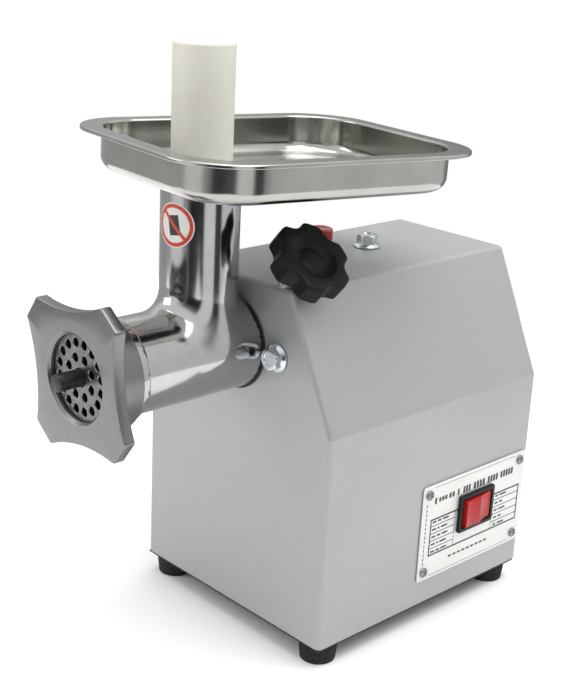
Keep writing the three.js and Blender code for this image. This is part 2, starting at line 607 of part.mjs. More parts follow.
const baseTop = footHeight + baseSheet;
const caseBottom = motorZ - tip(stageOne.pinion, stageOne) - gearClearance - caseWall;
const bracketHalf = 34;
add('drive_bracket', slab(outline([
  [motorX - bracketHalf - 14, baseTop + gap], [motorX - bracketHalf - 14, baseTop + gap + 3],
  [motorX - bracketHalf, baseTop + gap + 3], [motorX - bracketHalf, caseBottom - gap],
  [motorX + bracketHalf, caseBottom - gap], [motorX + bracketHalf, baseTop + gap + 3],
  [motorX + bracketHalf + 14, baseTop + gap + 3], [motorX + bracketHalf + 14, baseTop + gap],
  [motorX + bracketHalf - 3, baseTop + gap], [motorX + bracketHalf - 3, caseBottom - gap - 3],
  [motorX - bracketHalf + 3, caseBottom - gap - 3], [motorX - bracketHalf + 3, baseTop + gap],
]), gearFront, coverBack), finish.sheet);
const capacitorRadius = 17;
add('run_capacitor', turnedY(side - 36, baseTop + gap + capacitorRadius, [
  [0, 24], [capacitorRadius - 1, 24], [capacitorRadius, 25], [capacitorRadius, 82],
  [capacitorRadius - 1, 83], [3, 83], [3, 88], [0, 88],
], 24), finish.white);
add('terminal_block', join(
  block(-62, -22, 178, 196, baseTop + gap, baseTop + 12),
  ...[0, 1, 2].map((i) => rodZ(-55 + 13 * i, 187, 4, baseTop + 10, baseTop + 18, 12))), finish.white);

// ---- rating plate and switch --------------------------------------------------------------------
const plateFace = side + gap + plateSheet;
const opening = (length, height, from, to) => block(from, to,
  switchMiddle[0] - length / 2, switchMiddle[0] + length / 2,
  switchMiddle[1] - height / 2, switchMiddle[1] + height / 2);
add('rating_plate', cut(
  block(side + gap, plateFace, plateSides[0], plateSides[1], plateSides[2], plateSides[3]),
  opening(bezel.length - 2.4, bezel.height - 2.4, side - 5, side + 5),
  ...plateScrews.map(([y, z]) => rodX(y, z, 1.9, side - 1, side + 5, 12))), finish.label);
plateScrews.forEach(([y, z], i) => add(`plate_screw_${i + 1}`, join(
  rodX(y, z, panelScrew, plateFace + gap, plateFace + 2.4, 16),
  rodX(y, z, 1.5, side - 5, plateFace + 1, 12)), finish.zinc));
const bezelFace = plateFace + gap + bezel.thick;
const pocketLength = bezel.length - 2 * bezel.border;
const pocketHeight = bezel.height - 2 * bezel.border;
add('switch_body', cut(join(
  opening(bezel.length, bezel.height, plateFace + gap, bezelFace),
  opening(bezel.length - 3, bezel.height - 3, bezelFace - bezel.depth, bezelFace - 1)),
opening(pocketLength, pocketHeight, bezelFace - bezel.depth + 3, bezelFace + 1)), finish.black);
function rocker() {
  const half = pocketLength / 2 - 1.2;
  const ridge = 6;
  const end = ridge - half * Math.tan(rockerTilt);
  const profile = outline([[-half, end], [0, ridge], [half, end], [half, 0], [half / 2, -7],
    [-half / 2, -7], [-half, 0]]);
  const body = new THREE.ExtrudeGeometry(profile, {
    depth: pocketHeight - 2, bevelEnabled: false });
  body.translate(0, 0, 1 - pocketHeight / 2).rotateZ(rockerTilt - Math.PI / 2);
  return solid(body.translate(bezelFace - 3.5, switchMiddle[0], switchMiddle[1]));
}
add('switch_rocker', rocker(), finish.red);

// ---- grinding head ------------------------------------------------------------------------------
function headCasting() {
  const barrel = turnedY(driveX, driveZ, [
    [0, mouthY], [collarRadius, mouthY], [collarRadius, mouthY + collarLength],
    [barrelRadius, mouthY + collarLength + 2], [barrelRadius, shoulderY],
    [socketRadius - gap, shoulderY], [socketRadius - gap, shankLength - 1],
    [socketRadius - gap - 1, shankLength], [0, shankLength],
  ], 36);
  const neck = rodZ(driveX, neckY, neckRadius, driveZ, rimZ, 36);
  const behind = rodY(driveX, driveZ, 2 * barrelRadius, shoulderY, shankLength + 5);
  return cut(join(barrel, cut(neck, behind)),
    rodZ(driveX, neckY, neckBore, driveZ, rimZ + 5, 28),
    rodY(driveX, driveZ, barrelBore, mouthY - 5, chamberBack, 28),
    rodY(driveX, driveZ, plateRadius + gap, mouthY - 5, knifeBackY, 32),
    rodY(driveX, driveZ, augerJournal + 4, mouthY, shankLength + 5));
}
add('head_casting', headCasting(), finish.polished);
add('auger_bush', ring(driveX, driveZ, augerJournal + gap, augerJournal + 4 - gap,
  chamberBack + 1, shankLength - 0.5), finish.bronze);

const augerFrontY = knifeBackY + gap;
const augerRadius = barrelBore - 0.8;
function auger() {
  const bladeHalf = 26 * Math.PI / 180;
  const arc = (radius, from, to, steps) => Array.from({ length: steps + 1 }, (_, i) => {
    const turn = from + (to - from) * i / steps;
    return [radius * Math.cos(turn), radius * Math.sin(turn)];
  });
  const shape = outline([
    ...arc(augerRadius, -bladeHalf, bladeHalf, 2),
    ...arc(augerCore, bladeHalf, 2 * Math.PI - bladeHalf, 8),
  ]);
  const flightLength = chamberBack - 1 - augerFrontY;
  const steps = Math.ceil(12 * flightLength / augerPitch);
  const screw = new THREE.ExtrudeGeometry(shape, {
    depth: flightLength, steps, bevelEnabled: false });
  const at = screw.attributes.position;
  for (let i = 0; i < at.count; i++) {
    const turn = 2 * Math.PI * at.getZ(i) / augerPitch;
    const [x, y] = [at.getX(i), at.getY(i)];
    at.setXY(i, x * Math.cos(turn) - y * Math.sin(turn), x * Math.sin(turn) + y * Math.cos(turn));
  }
  screw.rotateX(Math.PI / 2).translate(driveX, chamberBack - 1, driveZ);
  const square = tongueSize / 2;
  return join(solid(screw),
    rodY(driveX, driveZ, augerJournal, chamberBack - 3, shankLength),
    block(driveX - square, driveX + square, shankLength - 2, shankLength + tongueLength,
      driveZ - square, driveZ + square),
    block(driveX - square, driveX + square, plateBackY + gap, augerFrontY + 3,
      driveZ - square, driveZ + square),
    rodY(driveX, driveZ, pinRadius, pinTipY, augerFrontY + 3, 20));
}
add('auger', auger(), finish.steel);

const knifeReach = plateRadius - 2;
function knife() {
  let blades = rodY(driveX, driveZ, 13, plateBackY + gap, knifeBackY, 24);
  for (let i = 0; i < 4; i++) {
    const blade = new THREE.BoxGeometry(knifeReach, knifeThickness, 9).translate(knifeReach / 2, 0, 0);
    blade.rotateY(Math.PI / 2 * i + Math.PI / 4);
    blade.translate(driveX, plateBackY + gap + knifeThickness / 2, driveZ);
    blades = join(blades, solid(blade));
  }
  const half = tongueSize / 2 + gap;
  return cut(blades,
    block(driveX - half, driveX + half, -200, 0, driveZ - half, driveZ + half));
}
add('cross_knife', knife(), finish.steel);

const plateHoles = [{ count: 8, reach: 13 }, { count: 16, reach: 22.5 }];
function cuttingPlate() {
  const circle = (x, z, radius, corners) => outline(Array.from({ length: corners }, (_, i) => {
    const turn = 2 * Math.PI * i / corners;
    return [x + radius * Math.cos(turn), z + radius * Math.sin(turn)];
  }));
  const shape = circle(driveX, driveZ, plateRadius, 32);
  shape.holes.push(circle(driveX, driveZ, pinRadius + gap, 16));
  for (const { count, reach } of plateHoles) {
    for (let i = 0; i < count; i++) {
      const turn = 2 * Math.PI * (i + 0.5) / count;
      shape.holes.push(
        circle(driveX + reach * Math.cos(turn), driveZ + reach * Math.sin(turn), plateHole, 8));
    }
  }
  const options = { depth: plateThickness, bevelEnabled: false };
  const plate = new THREE.ExtrudeGeometry(shape, options);
  return solid(plate.rotateX(Math.PI / 2).translate(0, plateBackY, 0));
}
add('cutting_plate', cuttingPlate(), finish.steel);

// Four flat-ended lobes joined by shallow hollow arcs.
function starShape() {
  const corner = new THREE.Vector2(ringReach, ringLobeWidth / 2);
  const lobeHalf = corner.angle();
  const reach = corner.length();
  const across = reach * Math.sin(Math.PI / 4 - lobeHalf);
  const along = reach * Math.cos(Math.PI / 4 - lobeHalf);
  const centre = (along ** 2 + across ** 2 - ringWaist ** 2) / (2 * (along - ringWaist));
  const sweep = Math.atan2(across, centre - along);
  const points = [];
  for (let lobe = 0; lobe < 4; lobe++) {
    const hollow = ringTurn + Math.PI / 2 * lobe + Math.PI / 2;
    for (let i = 0; i <= 6; i++) {
      const turn = sweep * (i / 3 - 1);
      const [u, v] = [centre - (centre - ringWaist) * Math.cos(turn),
        (centre - ringWaist) * Math.sin(turn)];
      points.push([driveX + u * Math.cos(hollow) - v * Math.sin(hollow),
        driveZ + u * Math.sin(hollow) + v * Math.cos(hollow)]);
    }
  }
  return outline(points);
}
function ringNut() {
  const star = slab(starShape(), ringFrontY, ringFrontY + ringPlate);
  const hub = rodY(driveX, driveZ, ringHub, ringFrontY + 1, ringFrontY + ringLength, 32);
  return cut(join(star, hub),
    rodY(driveX, driveZ, ringOpening, ringFrontY - 5, ringFrontY + 10, 32),
    rodY(driveX, driveZ, plateRadius + 2 * gap, ringFrontY + ringLip, ringFrontY + 15, 32),
    rodY(driveX, driveZ, collarRadius + gap, mouthY - gap, ringFrontY + ringLength + 5, 32));
}
add('ring_nut', ringNut(), finish.steel);

// The tray's own frame stands on the neck's rim, with the neck's axis as its Z axis.
const traySeat = new THREE.Group();
traySeat.position.set(driveX, neckY, rimZ);
traySeat.rotation.set(-traySag, 0, -trayTurn);
machine.add(traySeat);
function pan(inset, corner, from, to, roundness) {
  const shape = roundedRectangle(trayWidth - 2 * inset - 2 * roundness,
    trayLength - 2 * inset - 2 * roundness, corner - roundness, 0, trayBack);
  const body = new THREE.ExtrudeGeometry(shape, roundness
    ? { depth: to - from, bevelThickness: roundness, bevelSize: roundness, bevelSegments: 3,
      curveSegments: 3 }
    : { depth: to - from, bevelEnabled: false, curveSegments: 3 });
  return solid(body.translate(0, 0, from + roundness));
}
function tray() {
  const rim = trayLift + trayDepth;
  const edge = 15;
  const above = block(-200, 200, -200, 300, rim, rim + 100);
  const outer = cut(pan(trayFlange, trayCorner - 4, trayLift, rim, edge), above);
  const inner = pan(trayFlange + traySheet, trayCorner - 5.5, trayLift + traySheet, rim + 10,
    edge - traySheet);
  const flange = pan(0, trayCorner, rim - traySheet, rim, 0);
  const spigot = neckBore - spigotPlay;
  return cut(join(cut(join(outer, flange), inner),
    rodZ(0, 0, spigot, -spigotLength, trayLift + traySheet, 32)),
  rodZ(0, 0, spigot - traySheet + 0.4, -spigotLength - 5, trayLift + 10, 32));
}
add('tray', tray(), finish.polished, traySeat);

const plungerFoot = driveZ + augerRadius + 1.5;
const plungerTop = rimZ + plungerProud;
add('plunger', turnedZ(driveX, neckY, [
  [0, plungerFoot], [plungerRadius - 2, plungerFoot], [plungerRadius, plungerFoot + 2],
  [plungerRadius, plungerTop - 3], [plungerRadius - 1, plungerTop - 1], [plungerRadius - 3, plungerTop],
  [0, plungerTop],
], 24), finish.cream);

// The origin is under the middle of the whole object, on the surface it stands on.
const extent = new THREE.Box3().setFromObject(machine);
const middle = extent.getCenter(new THREE.Vector3());
machine.position.set(-middle.x, -middle.y, -extent.min.z);
const grinder = new THREE.Group();
grinder.add(machine);
export default grinder;
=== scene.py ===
# %% [markdown]
# # An electric meat grinder
# A folded steel housing on rubber feet holds a motor and a gearbox. They turn an auger inside a
# polished cast head, which has a mirror-bright tray and a plunger on top and a star-shaped ring nut
# in front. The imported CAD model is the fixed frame: every piece made here sits exactly where the CAD
# says, either as the CAD solid with a better material or as a finer piece that stands for it.

# %% Load the frame
import json
import math
import bpy
import bmesh
import numpy as np
from mathutils import Matrix, Vector


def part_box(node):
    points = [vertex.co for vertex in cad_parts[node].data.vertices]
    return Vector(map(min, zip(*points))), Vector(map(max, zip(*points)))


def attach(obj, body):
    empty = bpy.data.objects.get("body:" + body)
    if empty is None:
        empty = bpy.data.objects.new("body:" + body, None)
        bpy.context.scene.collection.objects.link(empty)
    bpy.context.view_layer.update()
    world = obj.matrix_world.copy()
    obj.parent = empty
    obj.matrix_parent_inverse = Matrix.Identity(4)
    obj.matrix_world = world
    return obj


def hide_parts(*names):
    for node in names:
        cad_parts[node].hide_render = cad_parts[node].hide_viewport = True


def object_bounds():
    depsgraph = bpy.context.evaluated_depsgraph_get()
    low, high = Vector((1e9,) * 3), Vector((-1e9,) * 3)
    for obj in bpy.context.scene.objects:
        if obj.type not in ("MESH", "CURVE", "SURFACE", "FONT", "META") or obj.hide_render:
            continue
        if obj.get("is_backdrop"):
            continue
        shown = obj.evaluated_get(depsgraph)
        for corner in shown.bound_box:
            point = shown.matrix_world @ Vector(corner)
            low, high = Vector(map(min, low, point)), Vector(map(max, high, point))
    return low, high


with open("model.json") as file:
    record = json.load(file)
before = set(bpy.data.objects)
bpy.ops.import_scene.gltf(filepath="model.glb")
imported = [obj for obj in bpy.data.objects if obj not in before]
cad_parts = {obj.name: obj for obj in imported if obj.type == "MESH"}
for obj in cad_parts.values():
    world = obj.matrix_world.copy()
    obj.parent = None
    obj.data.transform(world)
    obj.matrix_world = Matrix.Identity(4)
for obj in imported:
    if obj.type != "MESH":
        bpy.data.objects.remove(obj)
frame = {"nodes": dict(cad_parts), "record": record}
cad_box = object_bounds()
MM = 0.001

# %% [markdown]
# ## Where things are
# All positions come from the boxes of the CAD nodes. The drive axis runs along Y through the middle of
# the output shaft, the neck's axis is the plunger's, and the clamp leans towards the switch side.

# %% Positions taken from the CAD
def low(node):
    return Vector(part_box(node)[0])


def high(node):
    return Vector(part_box(node)[1])


def middle(node):
    return (low(node) + high(node)) / 2


drive = middle("output_shaft")
neck = middle("plunger")
neck_top = high("head_casting").z
housing_low, housing_high = low("housing_shell"), high("housing_shell")
panel_y = housing_low.y
housing_half = (housing_high.x - housing_low.x) / 2
housing_x = (housing_high.x + housing_low.x) / 2
print("drive axis x, z in mm:", round(drive.x / MM, 2), round(drive.z / MM, 2))
print("neck axis x, y in mm:", round(neck.x / MM, 2), round(neck.y / MM, 2))

# %% [markdown]
# ## Camera, floor and light
# The camera comes first, because every piece is judged through it. It is given as a place, two turns
# and a small roll. A plain pale sheet is the floor and three soft lamps are the studio. Polished metal
# shows only what is around it, so the sky has bright and dark bands for the steel to mirror, while the
# camera itself sees a plain pale wall.

# %% Camera
camera_place = Vector((0.62679, -0.60795, 0.5007))
camera_turn, camera_rise, camera_roll = (math.radians(a) for a in (46.15, 18.97, 2.69))
across = Vector((math.cos(camera_turn), math.sin(camera_turn), 0))
back = Vector((
    math.sin(camera_turn) * math.cos(camera_rise),
    -math.cos(camera_turn) * math.cos(camera_rise),
    math.sin(camera_rise),
))
upward = back.cross(across)
right = across * math.cos(camera_roll) + upward * math.sin(camera_roll)
top = upward * math.cos(camera_roll) - across * math.sin(camera_roll)
camera_data = bpy.data.cameras.new("camera")
camera_data.sensor_width = 36
camera_data.lens = 66.92
camera_data.clip_start = 0.01
camera = bpy.data.objects.new("camera", camera_data)
bpy.context.collection.objects.link(camera)
camera.matrix_world = Matrix.Translation(camera_place) @ Matrix((right, top, back)).transposed().to_4x4()
bpy.context.scene.camera = camera
print("camera at", [round(v, 3) for v in camera_place])

# %% Floor
floor_mesh = bpy.data.meshes.new("floor")
reach = 0.75
floor_mesh.from_pydata(
    [(-reach, -reach, 0), (reach, -reach, 0), (reach, reach, 0), (-reach, reach, 0)], [], [(0, 1, 2, 3)]
)
floor = bpy.data.objects.new("floor", floor_mesh)
bpy.context.collection.objects.link(floor)
paper = bpy.data.materials.new("floor_paper")
paper.use_nodes = True
paper.node_tree.nodes["Principled BSDF"].inputs["Base Color"].default_value = (0.95, 0.95, 0.95, 1)
paper.node_tree.nodes["Principled BSDF"].inputs["Roughness"].default_value = 0.9
paper.node_tree.nodes["Principled BSDF"].inputs["Specular IOR Level"].default_value = 0.1
floor_mesh.materials.append(paper)
floor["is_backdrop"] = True

# %% Soft lamps
def softbox(name, place, target, size, power, tint=(1, 1, 1)):
    data = bpy.data.lights.new(name, "AREA")
    data.shape = "RECTANGLE"
    data.size, data.size_y = size
    data.energy = power
    data.color = tint
    lamp = bpy.data.objects.new(name, data)
    bpy.context.collection.objects.link(lamp)
    lamp.location = place
    lamp.rotation_euler = (Vector(target) - Vector(place)).to_track_quat("-Z", "Y").to_euler()
    return lamp


softbox("key", (0.9, 0.2, 2.1), (0, 0, 0.15), (1.4, 1.4), 16)
softbox("fill", (-1.4, -1.6, 1.1), (0, 0, 0.2), (1.2, 1.2), 9)
softbox("overhead", (0, 0.2, 2.2), (0, 0, 0.2), (1.8, 1.8), 24)

# %% Studio sky
bpy.context.scene.view_settings.view_transform = "Standard"
world = bpy.data.worlds.new("studio")
bpy.context.scene.world = world
world.use_nodes = True
sky = world.node_tree
sky.nodes.clear()


def sky_node(kind, **values):
    node = sky.nodes.new(kind)
    for key, value in values.items():
        setattr(node, key, value)
    return node


def ramp(node, stops):
    points = node.color_ramp.elements
    while len(points) > 1:
        points.remove(points[-1])
    points[0].position = stops[0][0]
    points[0].color = (stops[0][1],) * 3 + (1,)
    for place, value in stops[1:]:
        points.new(place).color = (value,) * 3 + (1,)
    node.color_ramp.interpolation = "EASE"


direction = sky_node("ShaderNodeTexCoord")
split = sky_node("ShaderNodeSeparateXYZ")
turn = sky_node("ShaderNodeMath", operation="ARCTAN2")
fraction = sky_node("ShaderNodeMath", operation="MULTIPLY_ADD")
bands = sky_node("ShaderNodeValToRGB")
rise = sky_node("ShaderNodeValToRGB")
room = sky_node("ShaderNodeMix", data_type="RGBA")
seen = sky_node("ShaderNodeLightPath")
choice = sky_node("ShaderNodeMix", data_type="RGBA")
lit = sky_node("ShaderNodeBackground")
result = sky_node("ShaderNodeOutputWorld")
sky.links.new(direction.outputs["Generated"], split.inputs[0])
sky.links.new(split.outputs["Y"], turn.inputs[0])
sky.links.new(split.outputs["X"], turn.inputs[1])
sky.links.new(turn.outputs[0], fraction.inputs[0])
fraction.inputs[1].default_value = 1 / (2 * math.pi)
fraction.inputs[2].default_value = 0.5
sky.links.new(fraction.outputs[0], bands.inputs[0])
sky.links.new(split.outputs["Z"], rise.inputs[0])
ramp(bands, [(0.0, 0.5), (0.12, 0.55), (0.17, 1.0), (0.23, 1.0), (0.27, 0.45), (0.32, 0.03), (0.41, 0.03),
             (0.435, 1.0), (0.5, 1.0), (0.52, 0.06), (0.55, 0.06), (0.58, 0.85), (0.72, 0.8), (0.78, 0.25),
             (0.84, 0.2), (0.9, 0.45), (1.0, 0.5)])
ramp(rise, [(0.0, 0.0), (0.2, 0.15), (0.55, 1.0)])
sky.links.new(rise.outputs[0], room.inputs["Factor"])
sky.links.new(bands.outputs[0], room.inputs["A"])
room.inputs["B"].default_value = (1, 1, 1, 1)
sky.links.new(seen.outputs["Is Camera Ray"], choice.inputs["Factor"])
sky.links.new(room.outputs["Result"], choice.inputs["A"])
choice.inputs["B"].default_value = (1, 1, 1, 1)
sky.links.new(choice.outputs["Result"], lit.inputs["Color"])
lit.inputs["Strength"].default_value = 1.0
sky.links.new(lit.outputs[0], result.inputs[0])
print("sky nodes:", len(sky.nodes))

# %% [markdown]
# ## Effects shared by the finishes
# Four effects come back in nearly every finish: fine grain, soft smudges, rubbed edges and settled
# dust. Each is a node group that puts out only masks and heights, so that a finish can place it with
# its own values and keep its Principled shader to itself. Object coordinates are used throughout, so
# the pattern stays on a piece when the piece moves.

# %% A helper for node groups
def new_group(name, inputs, outputs):
    group = bpy.data.node_groups.new(name, "ShaderNodeTree")
    for label, kind, value in inputs:
        socket = group.interface.new_socket(name=label, in_out="INPUT", socket_type=kind)
        socket.default_value = value
    for label, kind in outputs:
        group.interface.new_socket(name=label, in_out="OUTPUT", socket_type=kind)
    start = group.nodes.new("NodeGroupInput")
    end = group.nodes.new("NodeGroupOutput")
    return group, start, end


def maths(tree, operation, a, b=None, clamp=False):
    node = tree.nodes.new("ShaderNodeMath")
    node.operation = operation
    node.use_clamp = clamp
    for index, value in enumerate((a, b)):
        if value is None:
            continue
        if isinstance(value, (int, float)):
            node.inputs[index].default_value = value
        else:
            tree.links.new(value, node.inputs[index])
    return node.outputs[0]


# %% Grain, which on the tray is set very wide and paints reflection patches
grain, g_in, g_out = new_group(
    "grain",
    [("Scale", "NodeSocketFloat", 400.0), ("Stretch", "NodeSocketVector", (1, 1, 1)),
     ("Detail", "NodeSocketFloat", 3.0)],
    [("Height", "NodeSocketFloat"), ("Tone", "NodeSocketFloat")],
)
place = grain.nodes.new("ShaderNodeTexCoord")
stretch = grain.nodes.new("ShaderNodeVectorMath")
stretch.operation = "MULTIPLY"
fine = grain.nodes.new("ShaderNodeTexNoise")
grain.links.new(place.outputs["Object"], stretch.inputs[0])
grain.links.new(g_in.outputs["Stretch"], stretch.inputs[1])
grain.links.new(stretch.outputs[0], fine.inputs["Vector"])
grain.links.new(g_in.outputs["Scale"], fine.inputs["Scale"])
grain.links.new(g_in.outputs["Detail"], fine.inputs["Detail"])
grain.links.new(fine.outputs[0], g_out.inputs["Height"])
grain.links.new(maths(grain, "MULTIPLY", maths(grain, "SUBTRACT", fine.outputs[0], 0.3), 2.5, True),
                g_out.inputs["Tone"])

# %% Smudges
smudges, s_in, s_out = new_group(
    "smudges",
    [("Scale", "NodeSocketFloat", 18.0), ("Clean", "NodeSocketFloat", 0.3),
     ("Handled", "NodeSocketFloat", 0.45)],
    [("Roughness", "NodeSocketFloat"), ("Mask", "NodeSocketFloat")],
)
place = smudges.nodes.new("ShaderNodeTexCoord")
cloud = smudges.nodes.new("ShaderNodeTexNoise")
cloud.inputs["Detail"].default_value = 5
cloud.inputs["Roughness"].default_value = 0.62
spread = smudges.nodes.new("ShaderNodeMapRange")
spread.inputs["From Min"].default_value = 0.35
spread.inputs["From Max"].default_value = 0.68
smudges.links.new(place.outputs["Object"], cloud.inputs["Vector"])
smudges.links.new(s_in.outputs["Scale"], cloud.inputs["Scale"])
smudges.links.new(cloud.outputs[0], spread.inputs["Value"])
smudges.links.new(s_in.outputs["Clean"], spread.inputs["To Min"])
smudges.links.new(s_in.outputs["Handled"], spread.inputs["To Max"])
smudges.links.new(spread.outputs["Result"], s_out.inputs["Roughness"])
smudges.links.new(cloud.outputs[0], s_out.inputs["Mask"])

# %% Rubbed edges
rubbed, r_in, r_out = new_group(
    "rubbed_edges",
    [("Width", "NodeSocketFloat", 0.001), ("Amount", "NodeSocketFloat", 0.6)],
    [("Mask", "NodeSocketFloat")],
)
rounded_normal = rubbed.nodes.new("ShaderNodeBevel")
rounded_normal.samples = 3
flat_normal = rubbed.nodes.new("ShaderNodeNewGeometry")
agreement = rubbed.nodes.new("ShaderNodeVectorMath")
agreement.operation = "DOT_PRODUCT"
patches = rubbed.nodes.new("ShaderNodeTexNoise")
patches.inputs["Scale"].default_value = 160
patches.inputs["Detail"].default_value = 4
patch_place = rubbed.nodes.new("ShaderNodeTexCoord")
rubbed.links.new(r_in.outputs["Width"], rounded_normal.inputs["Radius"])
rubbed.links.new(rounded_normal.outputs[0], agreement.inputs[0])
rubbed.links.new(flat_normal.outputs["Normal"], agreement.inputs[1])
rubbed.links.new(patch_place.outputs["Object"], patches.inputs["Vector"])
turned_away = maths(rubbed, "SUBTRACT", 1.0, agreement.outputs["Value"], True)
strong = maths(rubbed, "MULTIPLY", turned_away, 6.0, True)
uneven = maths(rubbed, "MULTIPLY", maths(rubbed, "SUBTRACT", patches.outputs[0], 0.25, True), 2.2, True)
rubbed.links.new(maths(rubbed, "MULTIPLY", maths(rubbed, "MULTIPLY", strong, uneven), r_in.outputs["Amount"],
                       True),
                 r_out.inputs["Mask"])

# %% Settled dust
dust, d_in, d_out = new_group(
    "settled_dust",
    [("Scale", "NodeSocketFloat", 60.0), ("Amount", "NodeSocketFloat", 0.2)],
    [("Mask", "NodeSocketFloat")],
)
facing = dust.nodes.new("ShaderNodeNewGeometry")
parts = dust.nodes.new("ShaderNodeSeparateXYZ")
specks = dust.nodes.new("ShaderNodeTexNoise")
specks.inputs["Detail"].default_value = 6
speck_place = dust.nodes.new("ShaderNodeTexCoord")
dust.links.new(facing.outputs["Normal"], parts.inputs[0])
dust.links.new(speck_place.outputs["Object"], specks.inputs["Vector"])
dust.links.new(d_in.outputs["Scale"], specks.inputs["Scale"])
lying = maths(dust, "MULTIPLY", maths(dust, "SUBTRACT", parts.outputs["Z"], 0.4, True), 1.6, True)
dusty = maths(dust, "MULTIPLY", maths(dust, "SUBTRACT", specks.outputs[0], 0.35, True), 3.0, True)
dust.links.new(maths(dust, "MULTIPLY", maths(dust, "MULTIPLY", lying, dusty), d_in.outputs["Amount"], True),
               d_out.inputs["Mask"])
print("groups:", sorted(g.name for g in bpy.data.node_groups))

# %% [markdown]
# ## Finishes
# A finish is a colour, how it varies, how rough it is when clean and when handled, how its surface is
# grained and how its edges wear. One function wires that up, and the table after it lists every finish
# on the machine with its own values.

# %% One function that makes a finish
def make_finish(name, colour, shade, rough, metallic=0.0, grain_scale=400, stretch=(1, 1, 1), relief=0.02,
                smudge=18, wear=0.0, worn=(0.6, 0.6, 0.6), wear_width=0.001, dusting=0.0, coat=0.0, glow=0.0,
                gloss=0.5):
    material = bpy.data.materials.new(name)
    material.use_nodes = True
    tree = material.node_tree
    shader = tree.nodes["Principled BSDF"]

    def placed(group, **values):
        node = tree.nodes.new("ShaderNodeGroup")
        node.node_tree = group
        for label, value in values.items():
            node.inputs[label].default_value = value
        return node

    def mixed(factor, a, b):
        node = tree.nodes.new("ShaderNodeMix")
        node.data_type = "RGBA"
        tree.links.new(factor, node.inputs["Factor"])
        for label, value in (("A", a), ("B", b)):
            if isinstance(value, tuple):
                node.inputs[label].default_value = value + (1,)
            else:
                tree.links.new(value, node.inputs[label])
        return node.outputs["Result"]

    surface = placed(grain, Scale=grain_scale, Stretch=stretch)
    handled = placed(smudges, Scale=smudge, Clean=rough[0], Handled=rough[1])
    # The grain tone blends colour and shade; on the tray, where the grain is very wide, this blend is painted
    # reflection patches.
    tint = mixed(surface.outputs["Tone"], colour, shade)
    roughness = handled.outputs["Roughness"]
    if wear:
        edge = placed(rubbed, Width=wear_width, Amount=wear)
        tint = mixed(edge.outputs["Mask"], tint, worn)
    if dusting:
        settled = placed(dust, Amount=dusting)
        tint = mixed(settled.outputs["Mask"], tint, (0.55, 0.53, 0.5))
        roughness = maths(tree, "MAXIMUM", roughness, settled.outputs["Mask"])
    tree.links.new(tint, shader.inputs["Base Color"])
    tree.links.new(roughness, shader.inputs["Roughness"])
    relief_node = tree.nodes.new("ShaderNodeBump")
    relief_node.inputs["Strength"].default_value = relief * 10
    relief_node.inputs["Distance"].default_value = 0.0002
    tree.links.new(surface.outputs["Height"], relief_node.inputs["Height"])
    tree.links.new(relief_node.outputs[0], shader.inputs["Normal"])
    shader.inputs["Metallic"].default_value = metallic
    shader.inputs["Specular IOR Level"].default_value = gloss
    shader.inputs["Coat Weight"].default_value = coat
    shader.inputs["Coat Roughness"].default_value = 0.08
    if glow:
        shader.inputs["Subsurface Weight"].default_value = glow
        shader.inputs["Subsurface Scale"].default_value = 0.004
    return material


